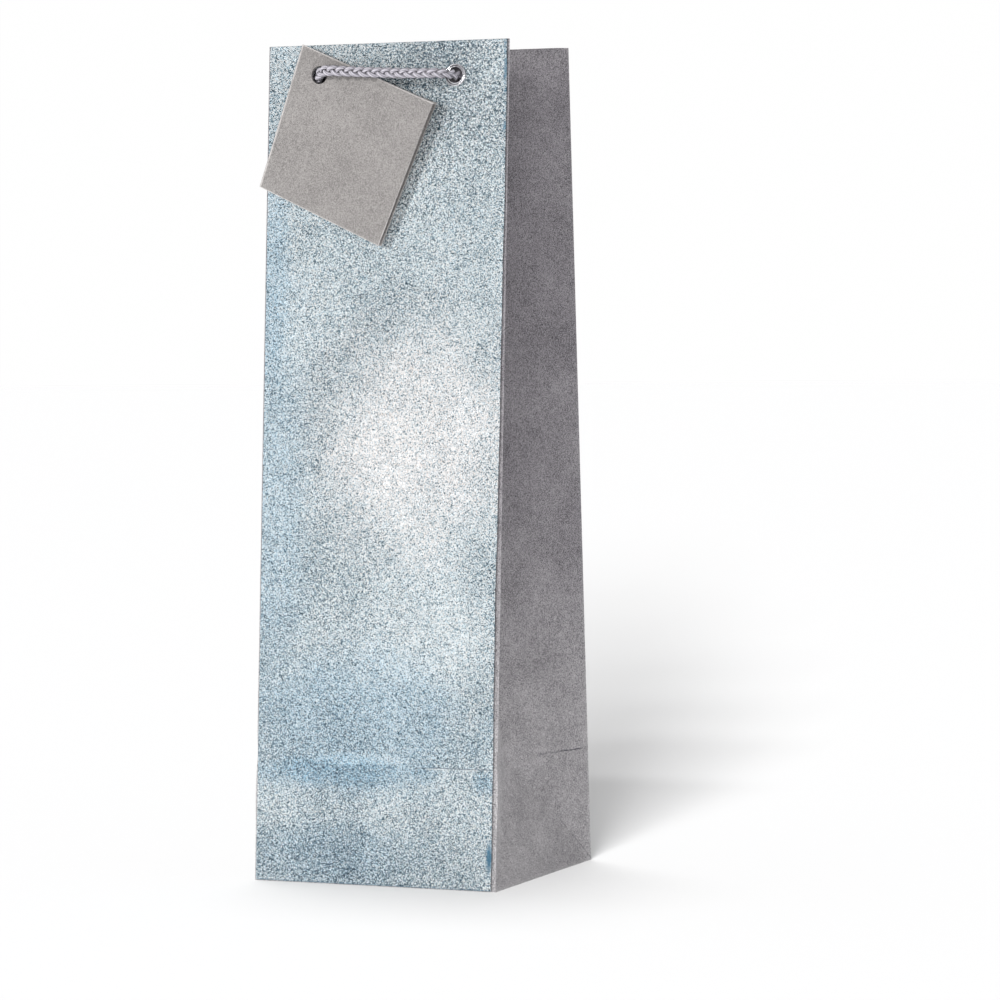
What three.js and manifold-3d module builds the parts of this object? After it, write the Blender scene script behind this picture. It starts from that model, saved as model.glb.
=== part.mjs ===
// A tall wine gift bag standing open, in millimetres, +Z up, its origin at the centre of its base.
// One folded sheet of grey paper makes the front, the back, the two gussets that fold inwards, the base and the
// turned-in top hem. Glitter sheets cover the front and the back. Boards stiffen the hem, four eyelets with
// washers line the cord holes, and a cord on each face is knotted inside. A folded tag hangs on the front cord.
import * as THREE from "three";
import { mergeVertices } from "three/addons/utils/BufferGeometryUtils.js";
import Module from "manifold-3d";

const wasm = await Module();
wasm.setup();

// Driving dimensions of the bag
const WIDTH = 111;
const DEPTH = 110;
const PANEL_HEIGHT = 355;
const TOP_LEAN_IN = 21.4;
const LEAN = Math.asin(TOP_LEAN_IN / PANEL_HEIGHT);

// Sheet thicknesses, from the outer face inwards, and the gap kept between touching pieces
const GLITTER = 0.35;
const PAPER = 0.5;
const BOARD = 0.8;
const FLOOR = 0.8;
const LEAF = 0.45;
const GAP = 0.3;
const GUSSET_HEM = 1.0;
const HEM_HEIGHT = 36;

// Sizes of the sheets and boards laid on the paper
const GLITTER_LEFT_MARGIN = 0.7;
const GLITTER_RIGHT_MARGIN = 2.0;
const GLITTER_BOTTOM_MARGIN = 0.4;
const GLITTER_TOP_MARGIN = 0.1;
const TOP_BOARD = { width: 94, height: 31, top: 353.2 };
const BASE_BOARD = { width: 104, depth: 105, thickness: 1.2 };

// Eyelets, washers and cords
const EYELET = { x: 31.5, up: 340.4, bore: 3.05, barrel: 3.4, flange: 4.75, clearance: 0.3 };
const WASHER = { inner: 3.7, outer: 4.9, thickness: 0.4 };
const CORD_RADIUS = 2.3;
const CORD_SIDES = 12;
const CORD_STEPS = 78;
const KNOT = { radius: 5, length: 10.5, tuftRadius: 2.7, tuftLength: 8 };

// The tag: its corners as distances along and up the fold from its hole, and how it sits on the front. The
// leaves are cut a little out of square.
const TAG_FOLD = -11.6;
const TAG_CORNERS = [
  [TAG_FOLD, 9.85],
  [TAG_FOLD, -53.4],
  [50.9, -59.3],
  [55.4, 4.7],
];
const TAG_BORE = 3.8;
const TAG_HOLE = { x: -29.3, up: 341.7, out: 2.8 };
const TAG_TURN = THREE.MathUtils.degToRad(19.1);
const TAG_LEAN = THREE.MathUtils.degToRad(2.2);
const TAG_TILT = THREE.MathUtils.degToRad(0.5);
const TAG_OPEN = THREE.MathUtils.degToRad(1.8);

const ROUND_SEGMENTS = 24;
const BACK_TURN = Math.PI;

// How far the outer layers set the paper back, and the depths of the layers in the hem
const SKIN = GLITTER + GAP;
const BOARD_SLOT = BOARD + 2 * GAP;
const FACE_HEM = PAPER + BOARD_SLOT + PAPER;
const HEM_INSIDE = SKIN + FACE_HEM;

// Routes of the cords: across the panel, up it and out from its face. Each tail hangs down inside the bag.
const LEFT_TAIL = [
  [-31.0, 212.0, -19.5],
  [-31.2, 240.0, -18.2],
  [-31.4, 270.0, -16.8],
  [-31.5, 300.0, -15.4],
  [-31.5, 320.0, -14.5],
  [-31.5, 331.4, -14.0],
  [-31.5, 334.9, -13.3],
  [-31.5, 337.8, -11.4],
  [-31.5, 339.7, -8.4],
  [-31.5, 340.4, -5.0],
];
const LEFT_BEND = [
  [-31.5, 340.4, -2.2],
  [-31.5, 340.4, -0.3],
  [-30.8, 340.4, 3.2],
  [-28.8, 340.4, 6.2],
  [-25.8, 340.4, 8.2],
  [-22.3, 340.4, 8.9],
];
const LEFT_BEND_THROUGH_TAG = [
  [-31.5, 340.4, -2.2],
  [-31.2, 340.6, 0.2],
  [-30.2, 341.3, 2.9],
  [-28.3, 342.2, 5.6],
  [-25.5, 342.8, 7.7],
  [-22.0, 342.8, 8.8],
  [-16.5, 342.4, 9.1],
];
const MIDDLE_RUN = [
  [-8.0, 341.8, 9.1],
  [2.0, 341.2, 9.0],
  [12.0, 340.7, 9.0],
];
const BACK_RUN = [
  [-8.0, 340.4, 9.0],
  [8.0, 340.4, 9.0],
];
const mirrored = (points) => points.map(([x, up, out]) => [-x, up, out]).reverse();
const RIGHT_HALF = [...mirrored(LEFT_BEND), ...mirrored(LEFT_TAIL)];
const FRONT_ROUTE = [...LEFT_TAIL, ...LEFT_BEND_THROUGH_TAG, ...MIDDLE_RUN, ...RIGHT_HALF];
const BACK_ROUTE = [...LEFT_TAIL, ...LEFT_BEND, ...BACK_RUN, ...RIGHT_HALF];

// Finishes
const greyPaper = { color: 0x85828a, roughness: 0.9, metalness: 0 };
const glitter = { color: 0xb2c1c8, roughness: 0.35, metalness: 0.4 };
const card = { color: 0xaeaaa9, roughness: 0.85, metalness: 0 };
const greyBoard = { color: 0x9a948a, roughness: 0.9, metalness: 0 };
const silver = { color: 0xcfcfd2, roughness: 0.2, metalness: 1 };
const braid = { color: 0xb5b1bd, roughness: 0.75, metalness: 0 };

const bag = new THREE.Group();

function addPiece(parent, name, geometry, finish) {
  const mesh = new THREE.Mesh(geometry, new THREE.MeshStandardMaterial(finish));
  mesh.name = name;
  parent.add(mesh);
  return mesh;
}

// A frame that lies in a face of the bag: x across it, y inwards through it and z up it.
function faceFrame(turn) {
  const side = new THREE.Group();
  side.rotation.z = turn;
  const face = new THREE.Group();
  face.position.set(0, -DEPTH / 2, 0);
  face.rotation.x = -LEAN;
  side.add(face);
  bag.add(side);
  side.updateMatrixWorld(true);
  return face;
}

// Joins and cuts
function solidFrom(geometry, matrix = new THREE.Matrix4()) {
  const bare = geometry.index ? geometry.toNonIndexed() : geometry.clone();
  bare.deleteAttribute("normal");
  bare.deleteAttribute("uv");
  const merged = mergeVertices(bare.applyMatrix4(matrix), 1e-4);
  const vertProperties = merged.attributes.position.array;
  const triVerts = new Uint32Array(merged.index.array);
  return new wasm.Manifold(new wasm.Mesh({ numProp: 3, vertProperties, triVerts }));
}

function geometryFrom(solid) {
  const mesh = solid.getMesh();
  const geometry = new THREE.BufferGeometry();
  geometry.setAttribute("position", new THREE.BufferAttribute(mesh.vertProperties, 3));
  geometry.setIndex(new THREE.BufferAttribute(mesh.triVerts, 1));
  return geometry;
}

// A plate in a face's frame, between two distances across it, through it and up it.
function plate([x0, x1], [y0, y1], [z0, z1]) {
  const geometry = new THREE.BoxGeometry(x1 - x0, y1 - y0, z1 - z0);
  return geometry.translate((x0 + x1) / 2, (y0 + y1) / 2, (z0 + z1) / 2);
}

// A plug along a face's normal that cuts a round hole through a sheet or through all of the hem's layers.
function holePlug(x, up, radius) {
  const longerThanHem = 30;
  return new THREE.CylinderGeometry(radius, radius, longerThanHem, ROUND_SEGMENTS).translate(x, 0, up);
}

function eyeletPlugs() {
  const radius = EYELET.barrel + EYELET.clearance;
  return [-EYELET.x, EYELET.x].map((x) => holePlug(x, EYELET.up, radius));
}

function cut(geometry, plugs) {
  const whole = solidFrom(geometry);
  return geometryFrom(plugs.reduce((left, plug) => left.subtract(solidFrom(plug)), whole));
}

// The paper body. At a height z its outline has ten corners: the front and the back, which lean in, and on
// each side a gusset that folds inwards on a central crease. Below the apex of the base fold the middle of the
// gusset is a flat triangle, bounded by two diagonal creases that start at the corners of the base.
const APEX_HEIGHT = DEPTH / 2 / (1 + Math.tan(LEAN));
const TOP_HEIGHT = PANEL_HEIGHT * Math.cos(LEAN);
const CREASE_TOP_DROP = 3.5;
const HEM_BOTTOM = TOP_HEIGHT - HEM_HEIGHT;
const FOLD_NEAR_CREASE = 0.05;
const FOLD_NEAR_CORNER = 0.96;
const BODY_LEVELS = [15, 33, 49.2, APEX_HEIGHT, 62, 78, 105, 145, 200, 260, HEM_BOTTOM];

function halfDepth(z) {
  return DEPTH / 2 - z * Math.tan(LEAN);
}

// How far the gusset's crease stands in from the side: from zero at the base edge to the apex of the base
// fold, and above it as far as a half gusset of constant width must fold between the leaning faces.
function creaseDepth(z) {
  const folded = Math.sqrt((DEPTH / 2) ** 2 - halfDepth(Math.max(z, APEX_HEIGHT)) ** 2);
  return folded * Math.min(1, z / APEX_HEIGHT);
}

// Where the diagonal crease stands between the central crease, 0, and the face, 1.
function foldShare(z) {
  return THREE.MathUtils.clamp(1 - z / APEX_HEIGHT, FOLD_NEAR_CREASE, FOLD_NEAR_CORNER);
}

// The outline at height z, anticlockwise from the front's left corner, set in from the outer paper by one
// distance at the faces and another at the gussets.
function outline(z, faceInset, gussetInset, creaseDrop = 0) {
  const faceY = halfDepth(z) - SKIN / Math.cos(LEAN);
  const depthIn = creaseDepth(z);
  const share = foldShare(z);
  const foldY = share * faceY;
  const foldDepth = z < APEX_HEIGHT ? depthIn : depthIn * (1 - share);
  const run = faceY - foldY;
  const setIn = (gussetInset * Math.hypot(foldDepth, run)) / run;
  const y = faceY - faceInset / Math.cos(LEAN);
  const x = WIDTH / 2 - (foldDepth * (faceY - y)) / run - setIn;
  const foldX = WIDTH / 2 - foldDepth - setIn;
  const creaseX = WIDTH / 2 - depthIn - setIn;
  const foldZ = z - creaseDrop * (1 - share);
  const creaseZ = z - creaseDrop;
  return [
    [-x, -y, z],
    [x, -y, z],
    [foldX, -foldY, foldZ],
    [creaseX, 0, creaseZ],
    [foldX, foldY, foldZ],
    [x, y, z],
    [-x, y, z],
    [-foldX, foldY, foldZ],
    [-creaseX, 0, creaseZ],
    [-foldX, -foldY, foldZ],
  ];
}

// A cup whose outside runs up one list of outlines and whose inside runs up another, with a flat rim.
function cup(outside, inside) {
  const sides = outside[0].length;
  const positions = [...outside, ...inside].flat();
  const triangles = [];
  const leavesCrease = (j) => j % (sides / 2) > 2;
  const wall = (first, levels, outwards) => {
    for (let k = 0; k < levels - 1; k++) {
      for (let j = 0; j < sides; j++) {
        const a = first + k * sides + j;
        const b = first + k * sides + ((j + 1) % sides);
        const [c, d] = [b + sides, a + sides];
        const pair = leavesCrease(j) ? [[a, b, d], [b, c, d]] : [[a, b, c], [a, c, d]];
        pair.forEach((t) => triangles.push(outwards ? t : [...t].reverse()));
      }
    }
  };
  const innerStart = outside.length * sides;
  wall(0, outside.length, true);
  wall(innerStart, inside.length, false);
  const outerRim = innerStart - sides;
  const innerRim = positions.length - sides;
  const underside = positions.push([0, 0, outside[0][0][2]]) - 1;
  const floor = positions.push([0, 0, inside[0][0][2]]) - 1;
  for (let j = 0; j < sides; j++) {
    const next = (j + 1) % sides;
    triangles.push([outerRim + j, outerRim + next, innerRim + next]);
    triangles.push([outerRim + j, innerRim + next, innerRim + j]);
    triangles.push([underside, next, j]);
    triangles.push([floor, innerStart + j, innerStart + next]);
  }
  const geometry = new THREE.BufferGeometry();
  geometry.setAttribute("position", new THREE.Float32BufferAttribute(positions.flat(), 3));
  geometry.setIndex(triangles.flat());
  return geometry;
}

// The slot in the hem that holds a top board. It is open downwards, as the glued hem is.
function boardSlot() {
  const halfWidth = TOP_BOARD.width / 2 + GAP;
  const near = SKIN + PAPER;
  const belowHem = PANEL_HEIGHT - HEM_HEIGHT - 3;
  return plate([-halfWidth, halfWidth], [near, near + BOARD_SLOT], [belowHem, TOP_BOARD.top + GAP]);
}

function addPaperBody(faces) {
  const outside = [
    outline(0, 0, 0),
    ...BODY_LEVELS.map((z) => outline(z, 0, 0)),
    outline(TOP_HEIGHT, 0, 0, CREASE_TOP_DROP),
  ];
  const inside = [
    outline(FLOOR, PAPER, PAPER),
    ...BODY_LEVELS.map((z) => outline(z, PAPER, PAPER)),
    outline(HEM_BOTTOM, FACE_HEM, GUSSET_HEM),
    outline(TOP_HEIGHT, FACE_HEM, GUSSET_HEM, CREASE_TOP_DROP),
  ];
  let body = solidFrom(cup(outside, inside));
  for (const face of faces) {
    for (const cutter of [boardSlot(), ...eyeletPlugs()]) {
      body = body.subtract(solidFrom(cutter, face.matrixWorld));
    }
  }
  addPiece(bag, "paper_body", geometryFrom(body), greyPaper);
}

function addGlitterSheet(face, side) {
  const sheet = plate(
    [-WIDTH / 2 + GLITTER_LEFT_MARGIN, WIDTH / 2 - GLITTER_RIGHT_MARGIN],
    [0, GLITTER],
    [GLITTER_BOTTOM_MARGIN, PANEL_HEIGHT - GLITTER_TOP_MARGIN],
  );
  addPiece(face, `${side}_glitter_sheet`, cut(sheet, eyeletPlugs()), glitter);
}

function addTopBoard(face, side) {
  const near = SKIN + PAPER + GAP;
  const board = plate(
    [-TOP_BOARD.width / 2, TOP_BOARD.width / 2],
    [near, near + BOARD],
    [TOP_BOARD.top - TOP_BOARD.height, TOP_BOARD.top],
  );
  addPiece(face, `${side}_top_board`, cut(board, eyeletPlugs()), greyBoard);
}

function addBaseBoard() {
  const board = new THREE.BoxGeometry(BASE_BOARD.width, BASE_BOARD.depth, BASE_BOARD.thickness);
  addPiece(bag, "base_board", board, greyBoard).position.z = FLOOR + GAP + BASE_BOARD.thickness / 2;
}

// A ring turned from a closed profile of [radius, depth] points, with its axis through the face.
function turnedRing(profile) {
  const closed = [...profile, profile[0]].reverse().map(([r, y]) => new THREE.Vector2(r, y));
  return new THREE.LatheGeometry(closed, ROUND_SEGMENTS);
}

// The domed flange lies on the glitter, the barrel goes through every layer, and its end is rolled over
// the washer inside.
function addEyelet(face, name, x) {
  const { bore, barrel, flange } = EYELET;
  const washerTop = HEM_INSIDE + GAP + WASHER.thickness;
  const rollStart = washerTop + GAP;
  const eyelet = turnedRing([
    [bore, rollStart],
    [bore + 0.1, rollStart + 0.35],
    [barrel + 0.25, rollStart + 0.55],
    [barrel + 0.9, rollStart + 0.4],
    [barrel + 1.1, rollStart],
    [barrel, rollStart],
    [barrel, -GAP],
    [flange, -GAP],
    [flange - 0.3, -GAP - 0.45],
    [flange - 0.9, -GAP - 0.65],
    [bore + 0.3, -GAP - 0.55],
    [bore, -GAP - 0.2],
  ]);
  addPiece(face, `${name}_eyelet`, eyelet, silver).position.set(x, 0, EYELET.up);
  const washer = turnedRing([
    [WASHER.inner, washerTop],
    [WASHER.outer, washerTop],
    [WASHER.outer, HEM_INSIDE + GAP],
    [WASHER.inner, HEM_INSIDE + GAP],
  ]);
  addPiece(face, `${name}_washer`, washer, silver).position.set(x, 0, EYELET.up);
}

// A plain round tube along a route of [across, up, out] points in a face's frame.
function addCord(face, side, route) {
  const points = route.map(([x, up, out]) => new THREE.Vector3(x, -out, up));
  const section = new THREE.Shape();
  for (let k = 0; k < CORD_SIDES; k++) {
    const angle = (2 * Math.PI * k) / CORD_SIDES;
    const [u, v] = [CORD_RADIUS * Math.cos(angle), CORD_RADIUS * Math.sin(angle)];
    if (k === 0) section.moveTo(u, v);
    else section.lineTo(u, v);
  }
  section.closePath();
  const extrudePath = new THREE.CatmullRomCurve3(points);
  const tube = new THREE.ExtrudeGeometry(section, { steps: CORD_STEPS, extrudePath });
  addPiece(face, `${side}_cord`, tube, braid);
}

// A stopper knot with its short frayed end, hanging plumb below the end of a cord's tail.
function addKnot(face, name, [x, up, out]) {
  const { radius, length, tuftRadius, tuftLength } = KNOT;
  const profile = [
    [0, 0],
    [2.8, 0],
    [radius - 0.8, -0.2 * length],
    [radius, -0.5 * length],
    [radius - 0.8, -0.8 * length],
    [2.2, -length],
    [tuftRadius, -length - tuftLength],
    [0, -length - tuftLength],
  ];
  const points = profile.map(([r, y]) => new THREE.Vector2(r, y)).reverse();
  const knot = addPiece(face, name, new THREE.LatheGeometry(points, ROUND_SEGMENTS / 2), braid);
  knot.position.set(x, -out, up - GAP);
  knot.rotation.x = Math.PI / 2 + LEAN;
}

// The tag: two leaves joined by a fold on the left, each punched for the cord. The tag's frame is at its
// hole: x away from the fold, y inwards, z up the fold.
function leaf() {
  const shape = new THREE.Shape(TAG_CORNERS.map(([x, z]) => new THREE.Vector2(x, z)));
  const sheet = new THREE.ExtrudeGeometry(shape, { depth: LEAF, bevelEnabled: false }).rotateX(Math.PI / 2);
  return cut(sheet, [holePlug(0, 0, TAG_BORE)]);
}

function addTag(face) {
  const tag = new THREE.Group();
  tag.position.set(TAG_HOLE.x, -TAG_HOLE.out, TAG_HOLE.up);
  tag.rotation.set(TAG_LEAN, TAG_TURN, -TAG_TILT, "YXZ");
  face.add(tag);
  addPiece(tag, "tag_back_leaf", leaf(), card);
  const fold = new THREE.Group();
  fold.position.set(TAG_FOLD, -LEAF - GAP / 2, 0);
  fold.rotation.z = -TAG_OPEN;
  tag.add(fold);
  addPiece(fold, "tag_front_leaf", leaf(), card).position.set(-TAG_FOLD, -GAP / 2, 0);
}

const frontFace = faceFrame(0);
const backFace = faceFrame(BACK_TURN);

addPaperBody([frontFace, backFace]);
addBaseBoard();
for (const [face, side, route, mirror] of [
  [frontFace, "front", FRONT_ROUTE, 1],
  [backFace, "back", BACK_ROUTE, -1],
]) {
  addGlitterSheet(face, side);
  addTopBoard(face, side);
  addEyelet(face, `${side}_left`, -EYELET.x * mirror);
  addEyelet(face, `${side}_right`, EYELET.x * mirror);
  addCord(face, side, route);
  const [firstEnd, lastEnd] = [route[0], route[route.length - 1]];
  addKnot(face, `${side}_left_knot`, mirror > 0 ? firstEnd : lastEnd);
  addKnot(face, `${side}_right_knot`, mirror > 0 ? lastEnd : firstEnd);
}
addTag(frontFace);

export default bag;
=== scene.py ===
"""A tall wine gift bag standing open: grey paper with glitter faces, board-stiffened hem, eyelets, plaited cord
handles with knots inside, and a folded card tag. Lengths in the shape functions are millimetres, as in the part's
own drawing; meshes are written in metres."""
import math

import bmesh
import bpy
import numpy as np
from mathutils import Matrix, Vector


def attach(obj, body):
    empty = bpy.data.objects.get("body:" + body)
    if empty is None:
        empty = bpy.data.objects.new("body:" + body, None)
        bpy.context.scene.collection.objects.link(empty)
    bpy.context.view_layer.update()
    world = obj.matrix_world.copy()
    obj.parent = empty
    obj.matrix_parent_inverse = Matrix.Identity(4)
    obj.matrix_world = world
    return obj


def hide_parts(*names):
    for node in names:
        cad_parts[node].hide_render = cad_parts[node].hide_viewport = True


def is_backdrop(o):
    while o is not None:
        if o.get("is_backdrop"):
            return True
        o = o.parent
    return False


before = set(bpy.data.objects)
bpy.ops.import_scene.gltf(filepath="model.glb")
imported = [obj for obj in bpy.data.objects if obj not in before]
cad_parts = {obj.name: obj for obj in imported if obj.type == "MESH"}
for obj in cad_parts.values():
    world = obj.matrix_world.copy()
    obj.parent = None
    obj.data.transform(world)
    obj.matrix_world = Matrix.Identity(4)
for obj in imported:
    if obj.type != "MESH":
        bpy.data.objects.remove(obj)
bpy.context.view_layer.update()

MM = 0.001

# Driving dimensions, as in the part
WIDTH = 111.0
DEPTH = 110.0
PANEL_HEIGHT = 355.0
LEAN = math.asin(21.4 / PANEL_HEIGHT)
COS, SIN, TAN = math.cos(LEAN), math.sin(LEAN), math.tan(LEAN)
GLITTER, PAPER, LEAF, GAP = 0.35, 0.5, 0.45, 0.3
SKIN = GLITTER + GAP
FLOOR = 0.8
FACE_HEM = PAPER + 1.4 + PAPER
GUSSET_HEM = 1.0
HEM_INSIDE = SKIN + FACE_HEM
APEX = DEPTH / 2 / (1 + TAN)
TOP = PANEL_HEIGHT * COS
HEM_BOTTOM = TOP - 36.0
SCORE = 50.0
EYELET_X, EYELET_UP = 31.5, 340.4
HOLE = 3.7
TAG_HOLE = (-29.3, 341.7, 2.8)
TAG_FROM_FOLD, TAG_BORE = 11.6, 3.8
TAG_TOP_FOLD, TAG_TOP_FREE = (-11.6, 9.85), (55.4, 4.7)
TAG_FOOT_FREE, TAG_FOOT_FOLD = (50.9, -59.3), (-11.6, -53.4)
TAG_TURN, TAG_LEAN, TAG_TILT, TAG_OPEN = (math.radians(a) for a in (19.1, 2.2, 0.5, 1.8))

# Routes of the cords: across the face, up it and out from it
LEFT_TAIL = [
    (-31.0, 212.0, -19.5), (-31.2, 240.0, -18.2), (-31.4, 270.0, -16.8), (-31.5, 300.0, -15.4),
    (-31.5, 320.0, -14.5), (-31.5, 331.4, -14.0), (-31.5, 334.9, -13.3), (-31.5, 337.8, -11.4),
    (-31.5, 339.7, -8.4), (-31.5, 340.4, -5.0),
]
LEFT_BEND = [
    (-31.5, 340.4, -2.2), (-31.5, 340.4, -0.3), (-30.8, 340.4, 3.2), (-28.8, 340.4, 6.2),
    (-25.8, 340.4, 8.2), (-22.3, 340.4, 8.9),
]
LEFT_BEND_THROUGH_TAG = [
    (-31.5, 340.4, -2.2), (-31.2, 340.6, 0.2), (-30.2, 341.3, 2.9), (-28.3, 342.2, 5.6),
    (-25.5, 342.8, 7.7), (-22.0, 342.8, 8.8), (-16.5, 342.4, 9.1),
]
MIDDLE_RUN = [(-8.0, 341.8, 9.1), (2.0, 341.2, 9.0), (12.0, 340.7, 9.0)]
BACK_RUN = [(-8.0, 340.4, 9.0), (8.0, 340.4, 9.0)]
CORD, PLAIT_PERIOD = 4.6, 12.6

# Lines of the meshes: the step across a face, the half squares of cells round the holes, the lines beside the
# base score and the shares of the way from a face to a gusset's central crease
ACROSS_STEP, HOLE_SQUARE, TAG_SQUARE = 2.4, 5.6, 4.6
BORES = [(-EYELET_X, HOLE_SQUARE), (EYELET_X, HOLE_SQUARE)]
NEAR_SCORE = SCORE + np.array([-1.2, -0.8, -0.5, -0.25, 0, 0.25, 0.5, 0.8, 1.2])
GUSSET_LINES = np.unique(np.concatenate([np.linspace(0, 1, 23), [0.012, 0.03, 0.97, 0.988]]))


# ---------------------------------------------------------------- studio
# Sizes in metres, spreads in degrees; a share is of the light that would make the table full white
ROOM, TABLE_SHADE, ROOM_LIGHT = 14.0, 0.44, 0.47
KEY_TOWARDS, KEY_LIGHT, KEY_SPREAD = (0.62, 0.8, -0.3), 1.56, 9
OVERHEAD_TOWARDS, OVERHEAD_SHARE, OVERHEAD_SPREAD = (0.15, -0.19, -1.0), 0.265, 18
# Height and heading of each, in degrees, and its share
TABLE_LIGHTS = ((48.0, 5.0, 0.10), (34.0, 8.0, 0.10), (25.0, 11.0, 0.09), (18.0, 14.0, 0.09),
                (13.0, 16.5, 0.08), (9.0, 18.5, 0.08))
TABLE_LIGHT_SPREAD = 5.5


# ---------------------------------------------------------------- camera
def place_camera():
    """Looks at the bag from its front right, a little above its middle: azimuth and elevation give the line of
    sight, roll turns the view about it, and two small shifts slide the viewpoint across and up."""
    azimuth, elevation, roll = (math.radians(a) for a in (22.7065, 2.5171, -0.3685))
    across, upwards, distance = 33.1404 * MM, -17.6351 * MM, 1723.486 * MM
    back = Vector((math.sin(azimuth) * math.cos(elevation), -math.cos(azimuth) * math.cos(elevation),
                   math.sin(elevation)))
    right = (-back).cross(Vector((0, 0, 1))).normalized()
    up = right.cross(-back)
    place = Vector((0, 0, PANEL_HEIGHT * MM / 2)) + right * across + up * upwards + back * distance
    right_rolled = right * math.cos(roll) + up * math.sin(roll)
    up_rolled = up * math.cos(roll) - right * math.sin(roll)
    camera = bpy.data.objects.new("camera", bpy.data.cameras.new("camera"))
    camera.data.lens = 144.0
    camera.data.sensor_width = 36.0
    camera.data.clip_end = 30.0
    facing = Matrix((right_rolled, up_rolled, back)).transposed().to_4x4()
    camera.matrix_world = Matrix.Translation(place) @ facing
    bpy.context.scene.collection.objects.link(camera)
    bpy.context.scene.camera = camera


place_camera()


# ---------------------------------------------------------------- mesh helpers
def add_piece(name, points, faces, body, material, smooth=True, uv=None, merge=False):
    """A mesh object from points in millimetres and a list of integer arrays, one per number of sides. uv gives
    one pair per point. merge joins points that coincide, for a shell made of several panels."""
    mesh = bpy.data.meshes.new(name)
    points = np.ascontiguousarray(points, dtype=np.float32) * MM
    faces = [np.asarray(f, dtype=np.int32) for f in faces if len(f)]
    corners = np.concatenate([f.ravel() for f in faces])
    sides = np.concatenate([np.full(len(f), f.shape[1], dtype=np.int32) for f in faces])
    mesh.vertices.add(len(points))
    mesh.vertices.foreach_set("co", points.ravel())
    mesh.loops.add(len(corners))
    mesh.loops.foreach_set("vertex_index", corners)
    mesh.polygons.add(len(sides))
    mesh.polygons.foreach_set("loop_start", np.concatenate([[0], np.cumsum(sides)[:-1]]).astype(np.int32))
    mesh.update(calc_edges=True)
    if uv is not None:
        layer = mesh.uv_layers.new(name="UVMap")
        layer.data.foreach_set("uv", np.asarray(uv, dtype=np.float32)[corners].ravel())
    if merge:
        work = bmesh.new()
        work.from_mesh(mesh)
        bmesh.ops.remove_doubles(work, verts=work.verts, dist=2e-6)
        work.to_mesh(mesh)
        work.free()
    mesh.validate()
    mesh.polygons.foreach_set("use_smooth", np.full(len(mesh.polygons), smooth))
    piece = bpy.data.objects.new(name, mesh)
    bpy.context.scene.collection.objects.link(piece)
    mesh.materials.append(material)
    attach(piece, body)
    return piece


def sharpen(piece, angle=35.0, bevel=0.0):
    """Keeps folds and cut edges crisp while the surfaces between them stay smooth, with a narrow rounding."""
    if bevel:
        rounding = piece.modifiers.new("rounded_edges", "BEVEL")
        rounding.width = bevel * MM
        rounding.segments = 2
        rounding.limit_method = "ANGLE"
        rounding.angle_limit = math.radians(angle)
        rounding.harden_normals = False
    piece.data.set_sharp_from_angle(angle=math.radians(angle))


def quads_of_grid(rows, columns, close_rows=False, close_columns=False, start=0):
    """Quads of a grid whose point (i, j) is number i * columns + j, optionally joined end to start."""
    i = np.arange(rows if close_rows else rows - 1)[:, None]
    j = np.arange(columns if close_columns else columns - 1)[None, :]
    a = i * columns + j
    b = ((i + 1) % rows) * columns + j
    c = ((i + 1) % rows) * columns + (j + 1) % columns
    d = i * columns + (j + 1) % columns
    return start + np.stack([a + 0 * j, b + 0 * j, c, d + 0 * i], -1).reshape(-1, 4)


def punched_grid(us, vs, holes=()):
    """A flat grid of the lines us by vs in which the square of cells around each hole, (centre u, centre v,
    radius, half of the square), is replaced by a ring of cells from the square's edge to the circle. Gives the
    points, the quads, the outer edge and the holes' edges, each anticlockwise."""
    rows, columns = len(us), len(vs)
    number = np.arange(rows * columns).reshape(rows, columns)
    points = np.stack(np.meshgrid(us, vs, indexing="ij"), -1).reshape(-1, 2)
    kept = np.ones((rows - 1, columns - 1), bool)
    quads, loops = [], []
    for centre_u, centre_v, radius, half in holes:
        i0, i1 = (int(np.argmin(abs(us - centre_u - d))) for d in (-half, half))
        j0, j1 = (int(np.argmin(abs(vs - centre_v - d))) for d in (-half, half))
        kept[i0:i1, j0:j1] = False
        edge = np.concatenate([number[i0:i1, j0], number[i1, j0:j1], number[i1:i0:-1, j1], number[i0, j1:j0:-1]])
        away = points[edge] - (centre_u, centre_v)
        ring = (centre_u, centre_v) + radius * away / np.linalg.norm(away, axis=1, keepdims=True)
        inner = len(points) + np.arange(len(edge))
        points = np.concatenate([points, ring])
        quads.append(np.stack([edge, np.roll(edge, -1), np.roll(inner, -1), inner], -1))
        loops.append(inner)
    cells = np.stack([number[:-1, :-1], number[1:, :-1], number[1:, 1:], number[:-1, 1:]], -1)
    quads.append(cells[kept])
    quads = np.concatenate(quads)
    edge = np.concatenate([number[:-1, 0], number[-1, :-1], number[:0:-1, -1], number[0, :0:-1]])
    used, renumbered = np.unique(quads, return_inverse=True)
    where = np.zeros(len(points), int)
    where[used] = np.arange(len(used))
    return points[used], renumbered.reshape(-1, 4), where[edge], [where[loop] for loop in loops]


def walls(loop, count):
    """Quads that join an anticlockwise edge of a sheet's upper skin to the same edge of its lower skin."""
    after = np.roll(loop, -1)
    return np.stack([loop, loop + count, after + count, after], -1)


def slab(name, grid, upper, lower, body, material, **settings):
    """A closed sheet from a punched grid: the functions upper and lower put its points on the two skins."""
    flat, quads, edge, holes = grid
    count = len(flat)
    points = np.concatenate([upper(*flat.T), lower(*flat.T)])
    faces = [quads, quads[:, ::-1] + count, walls(edge, count)]
    faces += [walls(loop[::-1], count) for loop in holes]
    return add_piece(name, points, [np.concatenate(faces)], body, material, **settings)


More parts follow.
